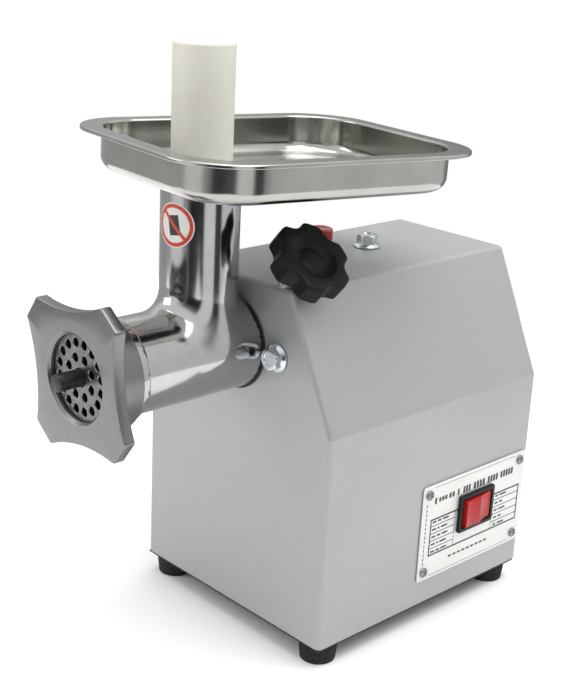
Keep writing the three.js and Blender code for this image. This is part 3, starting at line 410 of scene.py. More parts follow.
# %% The table of finishes
FINISHES = {
    "housing_paint": dict(colour=(0.36, 0.365, 0.372), shade=(0.39, 0.395, 0.4), rough=(0.34, 0.46),
                          metallic=0.35,
                          grain_scale=900, relief=0.02, smudge=9, wear=0.35, worn=(0.75, 0.75, 0.75),
                          wear_width=0.0012,
                          dusting=0.1),
    "back_paint": dict(colour=(0.36, 0.365, 0.372), shade=(0.39, 0.395, 0.4), rough=(0.36, 0.48),
                       metallic=0.35,
                       grain_scale=900, relief=0.02, wear=0.4, worn=(0.75, 0.75, 0.75)),
    "base_paint": dict(colour=(0.012, 0.012, 0.012), shade=(0.02, 0.02, 0.02), rough=(0.45, 0.6),
                       grain_scale=700,
                       gloss=0.2, wear=0.3, worn=(0.3, 0.3, 0.3)),
    "foot_rubber": dict(colour=(0.012, 0.012, 0.012), shade=(0.03, 0.03, 0.03), rough=(0.62, 0.85),
                        grain_scale=900,
                        relief=0.05, dusting=0.15, gloss=0.15),
    "screw_zinc": dict(colour=(0.16, 0.165, 0.17), shade=(0.34, 0.35, 0.36), rough=(0.25, 0.42), metallic=1.0,
                       grain_scale=1500, wear=0.5, worn=(0.9, 0.9, 0.9), wear_width=0.0004),
    "gland_plastic": dict(colour=(0.015, 0.015, 0.015), shade=(0.03, 0.03, 0.03), rough=(0.4, 0.55),
                          grain_scale=1200,
                          relief=0.04, dusting=0.2),
    "socket_cast": dict(colour=(0.4, 0.4, 0.41), shade=(0.55, 0.55, 0.56), rough=(0.45, 0.62), metallic=0.9,
                        grain_scale=700, relief=0.08, wear=0.5, worn=(0.8, 0.8, 0.8)),
    "gasket_rubber": dict(colour=(0.008, 0.008, 0.008), shade=(0.02, 0.02, 0.02), rough=(0.5, 0.7),
                          relief=0.03),
    "bolt_zinc": dict(colour=(0.55, 0.6, 0.62), shade=(0.72, 0.76, 0.78), rough=(0.14, 0.3), metallic=1.0,
                      grain_scale=1300, smudge=60, wear=0.5, worn=(0.9, 0.92, 0.93), wear_width=0.0005),
    "clamp_steel": dict(colour=(0.5, 0.51, 0.52), shade=(0.65, 0.66, 0.67), rough=(0.22, 0.38), metallic=1.0,
                        grain_scale=500, stretch=(1, 6, 1)),
    "knob_plastic": dict(colour=(0.006, 0.006, 0.006), shade=(0.012, 0.012, 0.012), rough=(0.32, 0.48),
                         grain_scale=1100,
                         relief=0.05, smudge=40, wear=0.25, worn=(0.1, 0.1, 0.1), wear_width=0.0015,
                         gloss=0.14),
    "gearbox_cast": dict(colour=(0.42, 0.42, 0.43), shade=(0.58, 0.58, 0.59), rough=(0.45, 0.65),
                         metallic=0.9,
                         grain_scale=600, relief=0.1, wear=0.5, worn=(0.8, 0.8, 0.8)),
    "cap_red": dict(colour=(0.42, 0.008, 0.008), shade=(0.5, 0.015, 0.012), rough=(0.14, 0.28), coat=0.5,
                    grain_scale=500,
                    relief=0.01),
    "drive_steel": dict(colour=(0.4, 0.41, 0.43), shade=(0.6, 0.61, 0.63), rough=(0.2, 0.4), metallic=1.0,
                        grain_scale=300, stretch=(1, 5, 1), wear=0.4, worn=(0.85, 0.85, 0.86),
                        wear_width=0.0005),
    "bearing_steel": dict(colour=(0.6, 0.61, 0.62), shade=(0.75, 0.76, 0.77), rough=(0.12, 0.25),
                          metallic=1.0,
                          grain_scale=900, wear=0.4, worn=(0.9, 0.9, 0.9), wear_width=0.0004),
    "seal_rubber": dict(colour=(0.015, 0.013, 0.012), shade=(0.03, 0.028, 0.026), rough=(0.45, 0.7),
                        relief=0.03),
    "motor_paint": dict(colour=(0.05, 0.055, 0.06), shade=(0.08, 0.085, 0.09), rough=(0.35, 0.5),
                        grain_scale=600,
                        relief=0.05, wear=0.4, worn=(0.4, 0.4, 0.4)),
    "lamination_steel": dict(colour=(0.2, 0.21, 0.22), shade=(0.42, 0.43, 0.44), rough=(0.35, 0.5),
                             metallic=1.0,
                             grain_scale=120, stretch=(1, 18, 1), relief=0.1),
    "winding_copper": dict(colour=(0.42, 0.12, 0.04), shade=(0.75, 0.32, 0.13), rough=(0.2, 0.38),
                           metallic=1.0,
                           grain_scale=260, stretch=(4, 1, 4), relief=0.12, coat=0.5),
    "fan_plastic": dict(colour=(0.02, 0.02, 0.02), shade=(0.035, 0.035, 0.035), rough=(0.4, 0.55),
                        relief=0.03),
    "bracket_steel": dict(colour=(0.42, 0.43, 0.44), shade=(0.6, 0.61, 0.62), rough=(0.3, 0.5), metallic=0.9,
                          grain_scale=60, relief=0.02, wear=0.4, worn=(0.8, 0.8, 0.8)),
    "capacitor_plastic": dict(colour=(0.7, 0.7, 0.68), shade=(0.78, 0.78, 0.75), rough=(0.4, 0.55),
                              relief=0.02),
    "terminal_plastic": dict(colour=(0.72, 0.72, 0.68), shade=(0.8, 0.8, 0.76), rough=(0.4, 0.55),
                             relief=0.02),
    "rating_foil": dict(colour=(0.66, 0.66, 0.64), shade=(0.74, 0.74, 0.72), rough=(0.3, 0.42), metallic=0.35,
                        grain_scale=160, stretch=(1, 0.2, 8), relief=0.02, smudge=25),
    "bezel_plastic": dict(colour=(0.008, 0.008, 0.008), shade=(0.014, 0.014, 0.014), rough=(0.28, 0.42),
                          grain_scale=1500,
                          relief=0.03, smudge=80, gloss=0.2),
    "rocker_plastic": dict(colour=(0.36, 0.006, 0.006), shade=(0.42, 0.01, 0.01), rough=(0.25, 0.4),
                           gloss=0.3,
                           grain_scale=700, relief=0.01, smudge=90, glow=0.05),
    "head_polish": dict(colour=(0.43, 0.43, 0.43), shade=(0.5, 0.5, 0.5), rough=(0.08, 0.15), metallic=1.0,
                        grain_scale=45, relief=0.012, smudge=26, wear=0.2, worn=(0.85, 0.85, 0.85)),
    "bush_bronze": dict(colour=(0.4, 0.24, 0.1), shade=(0.6, 0.4, 0.2), rough=(0.25, 0.4), metallic=1.0,
                        relief=0.03),
    "auger_steel": dict(colour=(0.02, 0.02, 0.021), shade=(0.045, 0.045, 0.047), rough=(0.3, 0.5),
                        metallic=0.5,
                        grain_scale=260, relief=0.08, smudge=60),
    "knife_steel": dict(colour=(0.45, 0.46, 0.47), shade=(0.62, 0.63, 0.64), rough=(0.2, 0.35), metallic=1.0,
                        grain_scale=500, stretch=(4, 1, 4), wear=0.5, worn=(0.9, 0.9, 0.9),
                        wear_width=0.0006),
    "plate_steel": dict(colour=(0.14, 0.145, 0.15), shade=(0.22, 0.225, 0.23), rough=(0.28, 0.42),
                        metallic=1.0,
                        grain_scale=350, relief=0.03, smudge=70, wear=0.6, worn=(0.75, 0.75, 0.76),
                        wear_width=0.0006),
    "ring_metal": dict(colour=(0.2, 0.203, 0.205), shade=(0.225, 0.228, 0.23), rough=(0.24, 0.36),
                       metallic=1.0,
                       grain_scale=900, stretch=(1, 8, 1), relief=0.015, smudge=30, wear=0.5,
                       worn=(0.85, 0.85, 0.86),
                       wear_width=0.0008),
    # The tray's grain is very wide (scale 22), so the blend of its colour with the lighter second colour
    # paints broad patches of reflection on the steel.
    "tray_steel": dict(colour=(0.4, 0.4, 0.378), shade=(0.5, 0.5, 0.475), rough=(0.11, 0.2), metallic=1.0,
                       grain_scale=22, relief=0.02, smudge=14, wear=0.2, worn=(0.85, 0.85, 0.85),
                       wear_width=0.0006),
    "plunger_plastic": dict(colour=(0.72, 0.71, 0.63), shade=(0.75, 0.74, 0.66), rough=(0.4, 0.55),
                            grain_scale=260,
                            stretch=(1, 1, 0.3), relief=0.015, smudge=30, wear=0.25, worn=(0.9, 0.88, 0.82),
                            glow=0.25),
    "print_black": dict(colour=(0.02, 0.02, 0.022), shade=(0.05, 0.05, 0.052), rough=(0.4, 0.55),
                        grain_scale=1500),
    "sticker_white": dict(colour=(0.8, 0.79, 0.76), shade=(0.85, 0.84, 0.82), rough=(0.3, 0.45),
                          grain_scale=900),
    "sticker_red": dict(colour=(0.6, 0.05, 0.02), shade=(0.66, 0.08, 0.04), rough=(0.3, 0.45),
                        grain_scale=900),
}
finishes = {name: make_finish(name, **values) for name, values in FINISHES.items()}
print("finishes:", len(finishes))

# %% [markdown]
# Every CAD node starts with the finish that its own slot names. The pieces made further down hide some
# of these nodes, and the rest stay in view or lie inside the housing.

# %% Finishes on the CAD nodes
slot_of = {row["node"]: row["material_slot"] for row in frame["record"]["subparts"]}
for node, piece in frame["nodes"].items():
    piece.data.materials.clear()
    piece.data.materials.append(finishes[slot_of[node]])
print("dressed CAD nodes:", len(slot_of))

# %% [markdown]
# The CAD solids that stay are faceted where the real parts are round. Their vertices are left alone,
# but shading them smooth, with sharp edges kept where two faces meet at a clear angle, makes the motor
# can, the gears and the bearings look turned.

# %% Soft shading on the CAD nodes
def shade(mesh, crease=32):
    mesh.polygons.foreach_set("use_smooth", [True] * len(mesh.polygons))
    mesh.set_sharp_from_angle(angle=math.radians(crease))


for piece in frame["nodes"].values():
    shade(piece.data)

# %% [markdown]
# ## Tools for shapes
# Everything is drawn in millimetres from one corner-stone: the middle of the housing's front panel, on
# the surface the machine stands on. Nearly every real part is either turned, bent from sheet or cast, so
# a few small tools are enough. A loft joins loops of equally many points. A turned shape is a loft of
# circles. A rounded path puts a true arc on each corner, since no real edge is perfectly sharp. A cut or
# a join is an exact boolean, used where a hole goes through a part.

# %% Lofts and turned shapes
ORIGIN = Vector((housing_x / MM, panel_y / MM, 0))
DRIVE_X, DRIVE_Z = (drive / MM - ORIGIN).x, drive.z / MM
NECK_Y = (neck / MM - ORIGIN).y


def extent(node):
    """Lowest and highest corner of a CAD node in millimetres from the corner-stone."""
    return low(node) / MM - ORIGIN, high(node) / MM - ORIGIN


def loft(loops, ends="capped"):
    count = len(loops[0])
    points = [Vector(p) for loop in loops for p in loop]
    faces = []
    for i in range(len(loops) if ends == "ring" else len(loops) - 1):
        a, b = i * count, (i + 1) % len(loops) * count
        faces += [(a + j, a + (j + 1) % count, b + (j + 1) % count, b + j) for j in range(count)]
    if ends == "capped":
        faces.append(tuple(reversed(range(count))))
        faces.append(tuple(range((len(loops) - 1) * count, len(loops) * count)))
    return points, faces


def turned(profile, ends="capped", steps=96, shape=None):
    """Loops of radius r at height h about Z. shape(angle, r) can bend a circle into another form."""
    angles = [2 * math.pi * i / steps for i in range(steps)]
    return loft([
        [((shape(a, r) if shape else r) * math.cos(a), (shape(a, r) if shape else r) * math.sin(a), h)
         for a in angles] for r, h in profile
    ], ends)


def rounded(corners, closed=False, steps=5):
    """A path through (x, y) or (x, y, radius) corners, with an arc where a radius is given."""
    path = []
    for i, corner in enumerate(corners):
        here = Vector(corner[:2])
        radius = corner[2] if len(corner) > 2 else 0
        if not radius or (not closed and i in (0, len(corners) - 1)):
            path.append(tuple(here))
            continue
        before = Vector(corners[i - 1][:2]) - here
        after = Vector(corners[(i + 1) % len(corners)][:2]) - here
        half = before.angle(after) / 2
        reach = min(radius / math.tan(half), before.length * 0.49, after.length * 0.49)
        start, end = here + before.normalized() * reach, here + after.normalized() * reach
        centre = here + (before.normalized() + after.normalized()).normalized() * reach / math.cos(half)
        sweep = (start - centre).angle(end - centre)
        for s in range(steps + 1):
            share = s / steps
            path.append(tuple(centre + ((start - centre) * math.sin((1 - share) * sweep)
                                        + (end - centre) * math.sin(share * sweep)) / math.sin(sweep)))
    return path


# %% Places and axes
def at(x, y, z, axis="Z"):
    """A frame at a point whose own Z axis points along the given axis of the machine."""
    turns = {"Z": Matrix(), "Y": Matrix.Rotation(-math.pi / 2, 4, "X"),
             "-Y": Matrix.Rotation(math.pi / 2, 4, "X"),
             "X": Matrix.Rotation(math.pi / 2, 4, "Y")}
    return Matrix.Translation((x, y, z)) @ turns[axis]


on_drive = at(DRIVE_X, 0, DRIVE_Z, "Y")


def moved(shape, matrix):
    return [matrix @ Vector(p) for p in shape[0]], shape[1]


def together(*shapes):
    points, faces = [], []
    for more_points, more_faces in shapes:
        faces += [tuple(i + len(points) for i in face) for face in more_faces]
        points += more_points
    return points, faces


def rod(radius, start, end, steps=48):
    return turned([(radius, start), (radius, end)], steps=steps)


def rectangle(width, height, corner, middle_x=0, middle_y=0, arc=6, side=1):
    """A rounded rectangle as a loop of points, with side points along each straight run."""
    loop = []
    for quarter, (sx, sy) in enumerate(((1, 1), (-1, 1), (-1, -1), (1, -1))):
        cx, cy = middle_x + sx * (width / 2 - corner), middle_y + sy * (height / 2 - corner)
        for i in range(arc + 1):
            a = math.pi / 2 * (quarter + i / arc)
            loop.append((cx + corner * math.cos(a), cy + corner * math.sin(a)))
    whole = []
    for i, here in enumerate(loop):
        whole.append(here)
        after = loop[(i + 1) % len(loop)]
        if i % (arc + 1) == arc:
            whole += [(here[0] + (after[0] - here[0]) * s / side, here[1] + (after[1] - here[1]) * s / side)
                      for s in range(1, side)]
    return whole


def inward(points):
    """At each point of a closed loop, the direction to its left, which points into the loop."""
    directions = []
    for i in range(len(points)):
        along = (points[(i + 1) % len(points)] - points[i - 1]).normalized()
        directions.append(Vector((-along.y, along.x)))
    return directions


def slab(loop, levels):
    """A loop of (x, y) points pulled through levels of (height, inset)."""
    points = [Vector(p) for p in loop]
    ways_in = inward(points)
    return loft([[(p + n * inset).to_3d() + Vector((0, 0, h)) for p, n in zip(points, ways_in)]
                 for h, inset in levels])


# %% Pieces
def new_piece(name, shape):
    mesh = bpy.data.meshes.new(name)
    mesh.from_pydata([(ORIGIN + Vector(p)) * MM for p in shape[0]], [], shape[1])
    work = bmesh.new()
    work.from_mesh(mesh)
    bmesh.ops.recalc_face_normals(work, faces=work.faces)
    work.to_mesh(mesh)
    work.free()
    piece = bpy.data.objects.new(name, mesh)
    bpy.context.collection.objects.link(piece)
    return piece


def settle(piece):
    """Turn what the modifiers make into the piece's own mesh."""
    mesh = bpy.data.meshes.new_from_object(piece.evaluated_get(bpy.context.evaluated_depsgraph_get()))
    old, piece.data = piece.data, mesh
    piece.modifiers.clear()
    mesh.name = piece.name
    bpy.data.meshes.remove(old)


def carve(piece, shape, operation="DIFFERENCE"):
    tool = new_piece("tool", shape)
    change = piece.modifiers.new("change", "BOOLEAN")
    change.operation, change.solver, change.object = operation, "EXACT", tool
    settle(piece)
    used = tool.data
    bpy.data.objects.remove(tool)
    bpy.data.meshes.remove(used)
    return piece


made = []


def show(piece, finish, body="base", replaced=(), crease=35):
    mesh = piece.data
    mesh.materials.clear()
    mesh.materials.append(finishes[finish])
    mesh.polygons.foreach_set("material_index", [0] * len(mesh.polygons))
    shade(mesh, crease)
    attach(piece, body)
    if replaced:
        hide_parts(*replaced)
    made.append(piece.name)
    print(piece.name, len(mesh.polygons), "faces")
    return piece


# %% [markdown]
# ## The housing
# The real housing is one sheet of 2 mm steel, folded over the top and welded at the front, so its folds
# and its front edge are rounded and its rear and underside are open. A plain box with a bevel would
# lose the sheet's thickness, which shows at every hole. So a solid loaf is lofted from rounded outlines,
# a second, smaller loaf is cut out of it, and then the holes are cut where the parts come through.

# %% The folded sheet
SHEET = 2.0
BEND = 4.0
FOLD_Z, TOP_HALF = 172.2, 52.3
SIDE, TOP_Z, BOTTOM_Z = housing_half / MM, housing_high.z / MM, housing_low.z / MM
REAR_Y = (housing_high.y - housing_low.y) / MM
shoulder = math.hypot(SIDE - TOP_HALF, TOP_Z - FOLD_Z)
slope_up, slope_in = (TOP_Z - FOLD_Z) / shoulder, (SIDE - TOP_HALF) / shoulder


def housing_loop(inset, y, bottom):
    fold = FOLD_Z - inset * (1 - slope_up) / slope_in
    half = TOP_HALF - inset * (1 - slope_in) / slope_up
    bend = max(BEND - inset, 0.3)
    path = rounded([
        (-SIDE + inset, bottom), (SIDE - inset, bottom), (SIDE - inset, fold, bend),
        (half, TOP_Z - inset, bend),
        (-half, TOP_Z - inset, bend), (-SIDE + inset, fold, bend),
    ], closed=True, steps=6)
    return [(x, y, z) for x, z in path]


def front_round(radius, start, inset):
    """Loops that round the front edge: they begin in the flat of the panel and end on the skin."""
    steps = 7
    return [(inset + radius * (1 - math.sin(a)), start + radius * (1 - math.cos(a)))
            for a in (math.pi / 2 * i / steps for i in range(steps + 1))]


outside = loft([housing_loop(inset, y, BOTTOM_Z) for inset, y in front_round(BEND, 0, 0) + [(0, REAR_Y)]])
inside = loft([housing_loop(inset, y, -10) for inset, y in front_round(BEND - SHEET, SHEET, SHEET)
               + [(SHEET, REAR_Y - SHEET), (11, REAR_Y - SHEET), (11, REAR_Y + 20)]])
housing = carve(new_piece("housing_skin", outside), inside)

# %% Holes in the housing
clamp_lean = math.radians(42.5)
CLAMP_Y = 8
clamp_frame = (Matrix.Translation((DRIVE_X, CLAMP_Y, DRIVE_Z))
               @ Matrix.Rotation(clamp_lean - math.pi / 2, 4, "Y")
               @ Matrix(((0, 0, 1, 0), (-1, 0, 0, 0), (0, -1, 0, 0), (0, 0, 0, 1))))
BOLT_REACH = 44.8
switch_y, switch_z = ((extent("switch_body")[0] + extent("switch_body")[1]) / 2)[1:]
plate_low, plate_high = extent("rating_plate")
plate_screws = [((a + b) / 2) for a, b in (extent(f"plate_screw_{i}") for i in range(1, 5))]
panel_screws = [((a + b) / 2) for a, b in (extent(f"panel_screw_{i}") for i in range(1, 5))]
cover_bolt, filler = (((a + b) / 2) for a, b in (extent("cover_bolt"), extent("filler_cap")))
SWITCH_HOLE = 27.6, 37.6
SCREW_HOLE = 1.9
window = slab(rectangle(*SWITCH_HOLE, 0.8), [(-6, 0), (6, 0)])
holes = together(
    moved(rod(30.3, -5, 8, 128), on_drive),
    *[moved(rod(5.3, -5, 8), at(DRIVE_X + way * BOLT_REACH, 0, DRIVE_Z, "Y")) for way in (-1, 1)],
    moved(rod(5.8, 40, 84), clamp_frame),
    moved(rod(4.4, TOP_Z - 6, TOP_Z + 6), at(cover_bolt.x, cover_bolt.y, 0)),
    moved(rod(8, TOP_Z - 6, TOP_Z + 6), at(filler.x, filler.y, 0)),
    moved(window, at(SIDE, switch_y, switch_z, "X")),
    *[moved(rod(SCREW_HOLE, -6, 6, 24), at(SIDE, p.y, p.z, "X")) for p in plate_screws],
    *[moved(rod(2.4, -6, 6, 24), at(p.x, REAR_Y, p.z, "Y")) for p in panel_screws],
)
carve(housing, holes)
show(housing, "housing_paint", "base", ["housing_shell"])

# %% [markdown]
# ## Feet
# The feet are moulded rubber plugs: a broad tapered foot, a waist that grips the base plate and a barb
# that was pushed through the hole. A turned shape with soft corners is all that they need, with a shallow
# cup underneath, as moulded feet have.

# %% Four feet
for i in range(1, 5):
    lowest, highest = extent(f"foot_{i}")
    centre = (lowest + highest) / 2
    foot = turned(rounded([
        (0.05, 1.2), (8.2, 1.2, 1), (9.4, 0, 0.6), (12.6, 0, 1), (14, 13.2, 1.2), (12.6, 14.05, 0.4),
        (5, 14.05, 0.3), (5, 16.2, 0.3), (6.6, 16.4, 0.4), (4.6, highest.z, 0.6), (0.05, highest.z),
    ], steps=4))
    show(new_piece(f"rubber_foot_{i}", moved(foot, at(centre.x, centre.y, 0))), "foot_rubber", "base",
         [f"foot_{i}"])

# %% [markdown]
# ## Bolts and screws
# A hexagon head is turned first and then cut to six flats, so its corners are chamfered by a cone. The
# radius of the loops is therefore the smaller of the hexagon's and the cone's. The flange under it is
# pressed in one piece with the head.

# %% Flanged bolts
def hexagon(corner_radius):
    flat = corner_radius * math.cos(math.pi / 6)
    return lambda a, r: min(r, flat / math.cos((a + math.pi / 6) % (math.pi / 3) - math.pi / 6))


def flanged_bolt(flange_radius, flange_height, corner_radius, height, shank_radius, shank_length):
    """Own Z axis out of the head, with the flange's underside at 0."""
    flange = rounded([(shank_radius, -shank_length, 0), (shank_radius, 0), (flange_radius, 0, 0.3),
                      (flange_radius, flange_height * 0.6, 0.4), (corner_radius * 0.9, flange_height * 1.5)],
                     steps=3)
    base = turned([(0.05, -shank_length)] + flange + [(0.05, flange_height * 1.5)], steps=96)
    flats = hexagon(corner_radius)
    rows = [(corner_radius, flange_height * 0.5), (corner_radius, height - 1.4),
            (corner_radius * 0.955, height - 0.75), (corner_radius * 0.87, height - 0.1),
            (corner_radius * 0.8, height), (corner_radius * 0.55, height),
            (corner_radius * 0.5, height - 0.5), (0.05, height - 0.55)]
    head = turned(rows, steps=192, shape=flats)
    return base, head


def show_bolt(name, node, matrix, *sizes):
    base, head = flanged_bolt(*sizes)
    bolt = new_piece(name, moved(base, matrix))
    carve(bolt, moved(head, matrix), "UNION")
    show(bolt, "bolt_zinc", "base", [node], crease=25)


for i, way in enumerate((-1, 1), 1):
    lowest, highest = extent(f"nose_bolt_{i}")
    x = (lowest.x + highest.x) / 2
    show_bolt(f"nose_flange_bolt_{i}", f"nose_bolt_{i}",
              at(x, -0.3, DRIVE_Z, "-Y") @ Matrix.Rotation(math.radians(14 + 20 * i), 4, "Z"),
              10, 1.9, 8.2, -0.3 - lowest.y, 5, highest.y + 0.3)
lowest, highest = extent("cover_bolt")
show_bolt("top_flange_bolt", "cover_bolt",
          at(cover_bolt.x, cover_bolt.y, TOP_Z + 0.3) @ Matrix.Rotation(0.4, 4, "Z"),
          10, 1.7, 7.8, highest.z - TOP_Z - 0.3, 4, TOP_Z + 0.3 - lowest.z)

# %% Pan-head screws with a cross recess
def pan_screw(name, radius, height, shank_radius, shank_length, matrix):
    """Own Z axis out of the head, with the head's underside at 0."""
    body = turned(rounded([
        (0.05, -shank_length), (shank_radius, -shank_length, 0.3), (shank_radius, 0), (radius, 0, 0.2),
        (radius, height * 0.45, height * 0.4), (radius * 0.45, height), (0.05, height),
    ], steps=5), steps=48)
    arm = radius * 0.62
    slot = slab(rectangle(2 * arm, radius * 0.24, radius * 0.1),
                [(height * 0.35, radius * 0.09), (height + 1, 0)])
    screw = new_piece(name, moved(body, matrix))
    carve(screw, moved(slot, matrix))
    carve(screw, moved(slot, matrix @ Matrix.Rotation(math.pi / 2, 4, "Z")))
    return screw


for i, centre in enumerate(plate_screws, 1):
    lowest, highest = extent(f"plate_screw_{i}")
    frame_here = at(highest.x - 2.1, centre.y, centre.z, "X") @ Matrix.Rotation(0.5 * i, 4, "Z")
    screw = pan_screw(f"plate_cross_screw_{i}", (highest.y - lowest.y) / 2, 2.1, 1.5,
                      highest.x - 2.1 - lowest.x, frame_here)
    show(screw, "screw_zinc", "base", [f"plate_screw_{i}"], crease=28)
for i, centre in enumerate(panel_screws, 1):
    lowest, highest = extent(f"panel_screw_{i}")
    frame_here = at(centre.x, highest.y - 2.1, centre.z, "Y") @ Matrix.Rotation(0.7 * i, 4, "Z")
    screw = pan_screw(f"panel_cross_screw_{i}", (highest.x - lowest.x) / 2, 2.1, 1.5,
                      highest.y - 2.1 - lowest.y, frame_here)
    show(screw, "screw_zinc", "base", [f"panel_screw_{i}"], crease=28)

# %% [markdown]
# ## Cap, gland and gasket
# The filler cap is a glossy moulded plug whose rim is ribbed so that fingers can turn it. The cable gland
# has a hexagon nut against the panel and a ribbed dome that grips the cable. The gasket is a plain ring
# with soft edges, between the head and the panel.

# %% Ribbed parts
def ribs(count, depth, start):
    """Grooves all round, but only on loops wider than start."""
    return lambda a, r: r - depth * (0.5 - 0.5 * math.cos(count * a)) ** 2 * (r > start)


lowest, highest = extent("filler_cap")
cap_foot = 263.4
cap = turned(rounded([
    (0.05, lowest.z), (7.4, lowest.z, 0.6), (7.4, cap_foot), (9.5, cap_foot, 0.4), (9.5, highest.z - 1, 1.2),
    (8.2, highest.z, 0.8), (6.2, highest.z, 0.3), (5.8, highest.z - 0.6, 0.3), (0.05, highest.z - 0.6),
], steps=4), steps=192, shape=ribs(24, 0.45, 8.4))
show(new_piece("oil_cap", moved(cap, at(filler.x, filler.y, 0))), "cap_red", "base", ["filler_cap"])

lowest, highest = extent("cable_gland")
gland_x, gland_z = (lowest.x + highest.x) / 2, (lowest.z + highest.z) / 2
nut_flats = hexagon(11)
gland = turned(rounded([
    (4.5, lowest.y, 0.3), (8, lowest.y, 0.5), (8, 218.3), (11, 218.3, 0.3), (11, 224, 0.5), (9.9, 224.2, 0.3),
    (9.9, 226, 0.5), (8.5, highest.y, 1.5), (4.5, highest.y, 0.8),
], closed=True, steps=4), ends="ring", steps=180,
    shape=lambda a, r: nut_flats(a, r) if r > 9.95 else ribs(18, 0.35, 8.6)(a, r))
show(new_piece("cable_gland_dome", moved(gland, at(gland_x, 0, gland_z, "Y"))), "gland_plastic", "base",
     ["cable_gland"])

lowest, highest = extent("nose_gasket")
gasket_outer = (highest.x - lowest.x) / 2
gasket = turned(rounded([
    (30.3, lowest.y, 0.2), (gasket_outer, lowest.y, 0.4), (gasket_outer, highest.y, 0.4),
    (30.3, highest.y, 0.2),
], closed=True, steps=3), ends="ring", steps=128)
show(new_piece("nose_seal", moved(gasket, on_drive)), "gasket_rubber", "base", ["nose_gasket"])

# %% [markdown]
# ## The head
# The head is one casting: a barrel, a neck that rises from it and a soft fillet where they meet, all
# polished until they mirror the room. A boolean of two cylinders would leave a hard crease and long thin
# faces, which a mirror finish shows at once. So the outside is described by how far a point is from the
# surface, where two such distances can be blended smoothly. A voxel remesh gives an even skin of small
# squares, and each corner of it is then moved exactly onto the surface.

# %% Distance to the head's outside
BARREL, COLLAR, NECK, SHANK = 32.2, 35.3, 26.25, 26
COLLAR_LENGTH = 24
MOUTH_Y, SHOULDER_Y, SHANK_Y = extent("head_casting")[0].y, -1.6, extent("head_casting")[1].y
RIM = neck_top / MM - DRIVE_Z


def rod_distance(across, along, radius, start, end, edge):
    outward = across - radius + edge
    beyond = np.abs(along - (start + end) / 2) - (end - start) / 2 + edge
    return (np.minimum(np.maximum(outward, beyond), 0)
            + np.hypot(np.maximum(outward, 0), np.maximum(beyond, 0)) - edge)


def blend(a, b, width):
    share = np.maximum(width - np.abs(a - b), 0) / width
    return np.minimum(a, b) - share * share * width / 4


def head_distance(p):
    around_y, around_z = np.hypot(p[:, 0], p[:, 2]), np.hypot(p[:, 0], p[:, 1] - NECK_Y)
    barrel = rod_distance(around_y, p[:, 1], BARREL, MOUTH_Y, 20, 1)
    collar = rod_distance(around_y, p[:, 1], COLLAR, MOUTH_Y, MOUTH_Y + COLLAR_LENGTH, 0.8)
    upright = rod_distance(around_z, p[:, 2], NECK, 0, RIM, 1.2)
    shank = rod_distance(around_y, p[:, 1], SHANK, -20, SHANK_Y, 1)
    cast = blend(blend(barrel, upright, 15), collar, 3)
    return np.minimum(np.maximum(cast, p[:, 1] - SHOULDER_Y), shank)


# %% The casting
head = new_piece("head_body", together(
    moved(rod(BARREL, MOUTH_Y, SHOULDER_Y, 96), on_drive),
    moved(rod(COLLAR, MOUTH_Y, MOUTH_Y + COLLAR_LENGTH, 96), on_drive),
    moved(rod(SHANK, -20, SHANK_Y, 96), on_drive),
    moved(rod(NECK, 0, RIM, 96), at(DRIVE_X, NECK_Y, DRIVE_Z)),
    moved(rod(NECK + 5, 15, 33, 96), at(DRIVE_X, NECK_Y, DRIVE_Z)),
))
skin = head.modifiers.new("skin", "REMESH")
skin.mode = "VOXEL"
skin.voxel_size = 0.0011
settle(head)
corners = np.zeros(len(head.data.vertices) * 3)
head.data.vertices.foreach_get("co", corners)
base_point = np.array(ORIGIN) + np.array((DRIVE_X, 0, DRIVE_Z))
corners = corners.reshape(-1, 3) / MM - base_point
for _ in range(12):
    gap = head_distance(corners)
    nudge = 0.01
    direction_out = np.stack([
        head_distance(corners + nudge * np.eye(3)[k]) - head_distance(corners - nudge * np.eye(3)[k])
        for k in range(3)
    ], axis=1) / (2 * nudge)
    size = np.maximum((direction_out ** 2).sum(1, keepdims=True), 0.05)
    corners = corners - np.clip(gap, -1.5, 1.5)[:, None] * direction_out / size
print("largest miss in mm:", round(float(np.abs(head_distance(corners)).max()), 4))
head.data.vertices.foreach_set("co", ((corners + base_point) * MM).ravel())
head.data.update()

# %% Bores of the head
AUGER_BORE, PLATE_SEAT, BUSH_BORE, NECK_BORE = 26, 31.3, 13, 23.6
for radius, start, end in ((AUGER_BORE, MOUTH_Y - 5, -7), (PLATE_SEAT, MOUTH_Y - 5, -111.4),
                           (BUSH_BORE, -20, SHANK_Y + 5)):
    carve(head, moved(rod(radius, start, end, 128), on_drive))
carve(head, moved(rod(NECK_BORE, 2, RIM + 5, 128), at(DRIVE_X, NECK_Y, DRIVE_Z)))
show(head, "head_polish", "head", ["head_casting"], crease=40)

# %% [markdown]
# ## The ring nut
# The ring nut is a star with four flat-ended lobes and shallow hollows between them, on a short threaded
# hub. Its lobes are for the hand, so every edge is broken. One loft makes it: loops with as many points
# as the star's outline run from the opening over the front, round the star, along the hub and back through
# the bore. Because circles and star share their angles, no face is twisted.

# %% The star's outline
RING_WAIST, RING_REACH, RING_LOBE, RING_TURN = 43.5, 59.2, 20, math.radians(8)


def evenly(points, count, smooth):
    """Spread points evenly along a closed path, then soften its corners."""
    path = [Vector(p) for p in points]
    lengths = [(path[(i + 1) % len(path)] - p).length for i, p in enumerate(path)]
    step, i, used, spread = sum(lengths) / count, 0, 0.0, []
    for k in range(count):
        goal = k * step
        while used + lengths[i] < goal:
            used += lengths[i]
            i += 1
        spread.append(path[i].lerp(path[(i + 1) % len(path)], (goal - used) / lengths[i]))
    for _ in range(smooth):
        spread = [(spread[k - 1] + 2 * spread[k] + spread[(k + 1) % count]) / 4 for k in range(count)]
    return spread


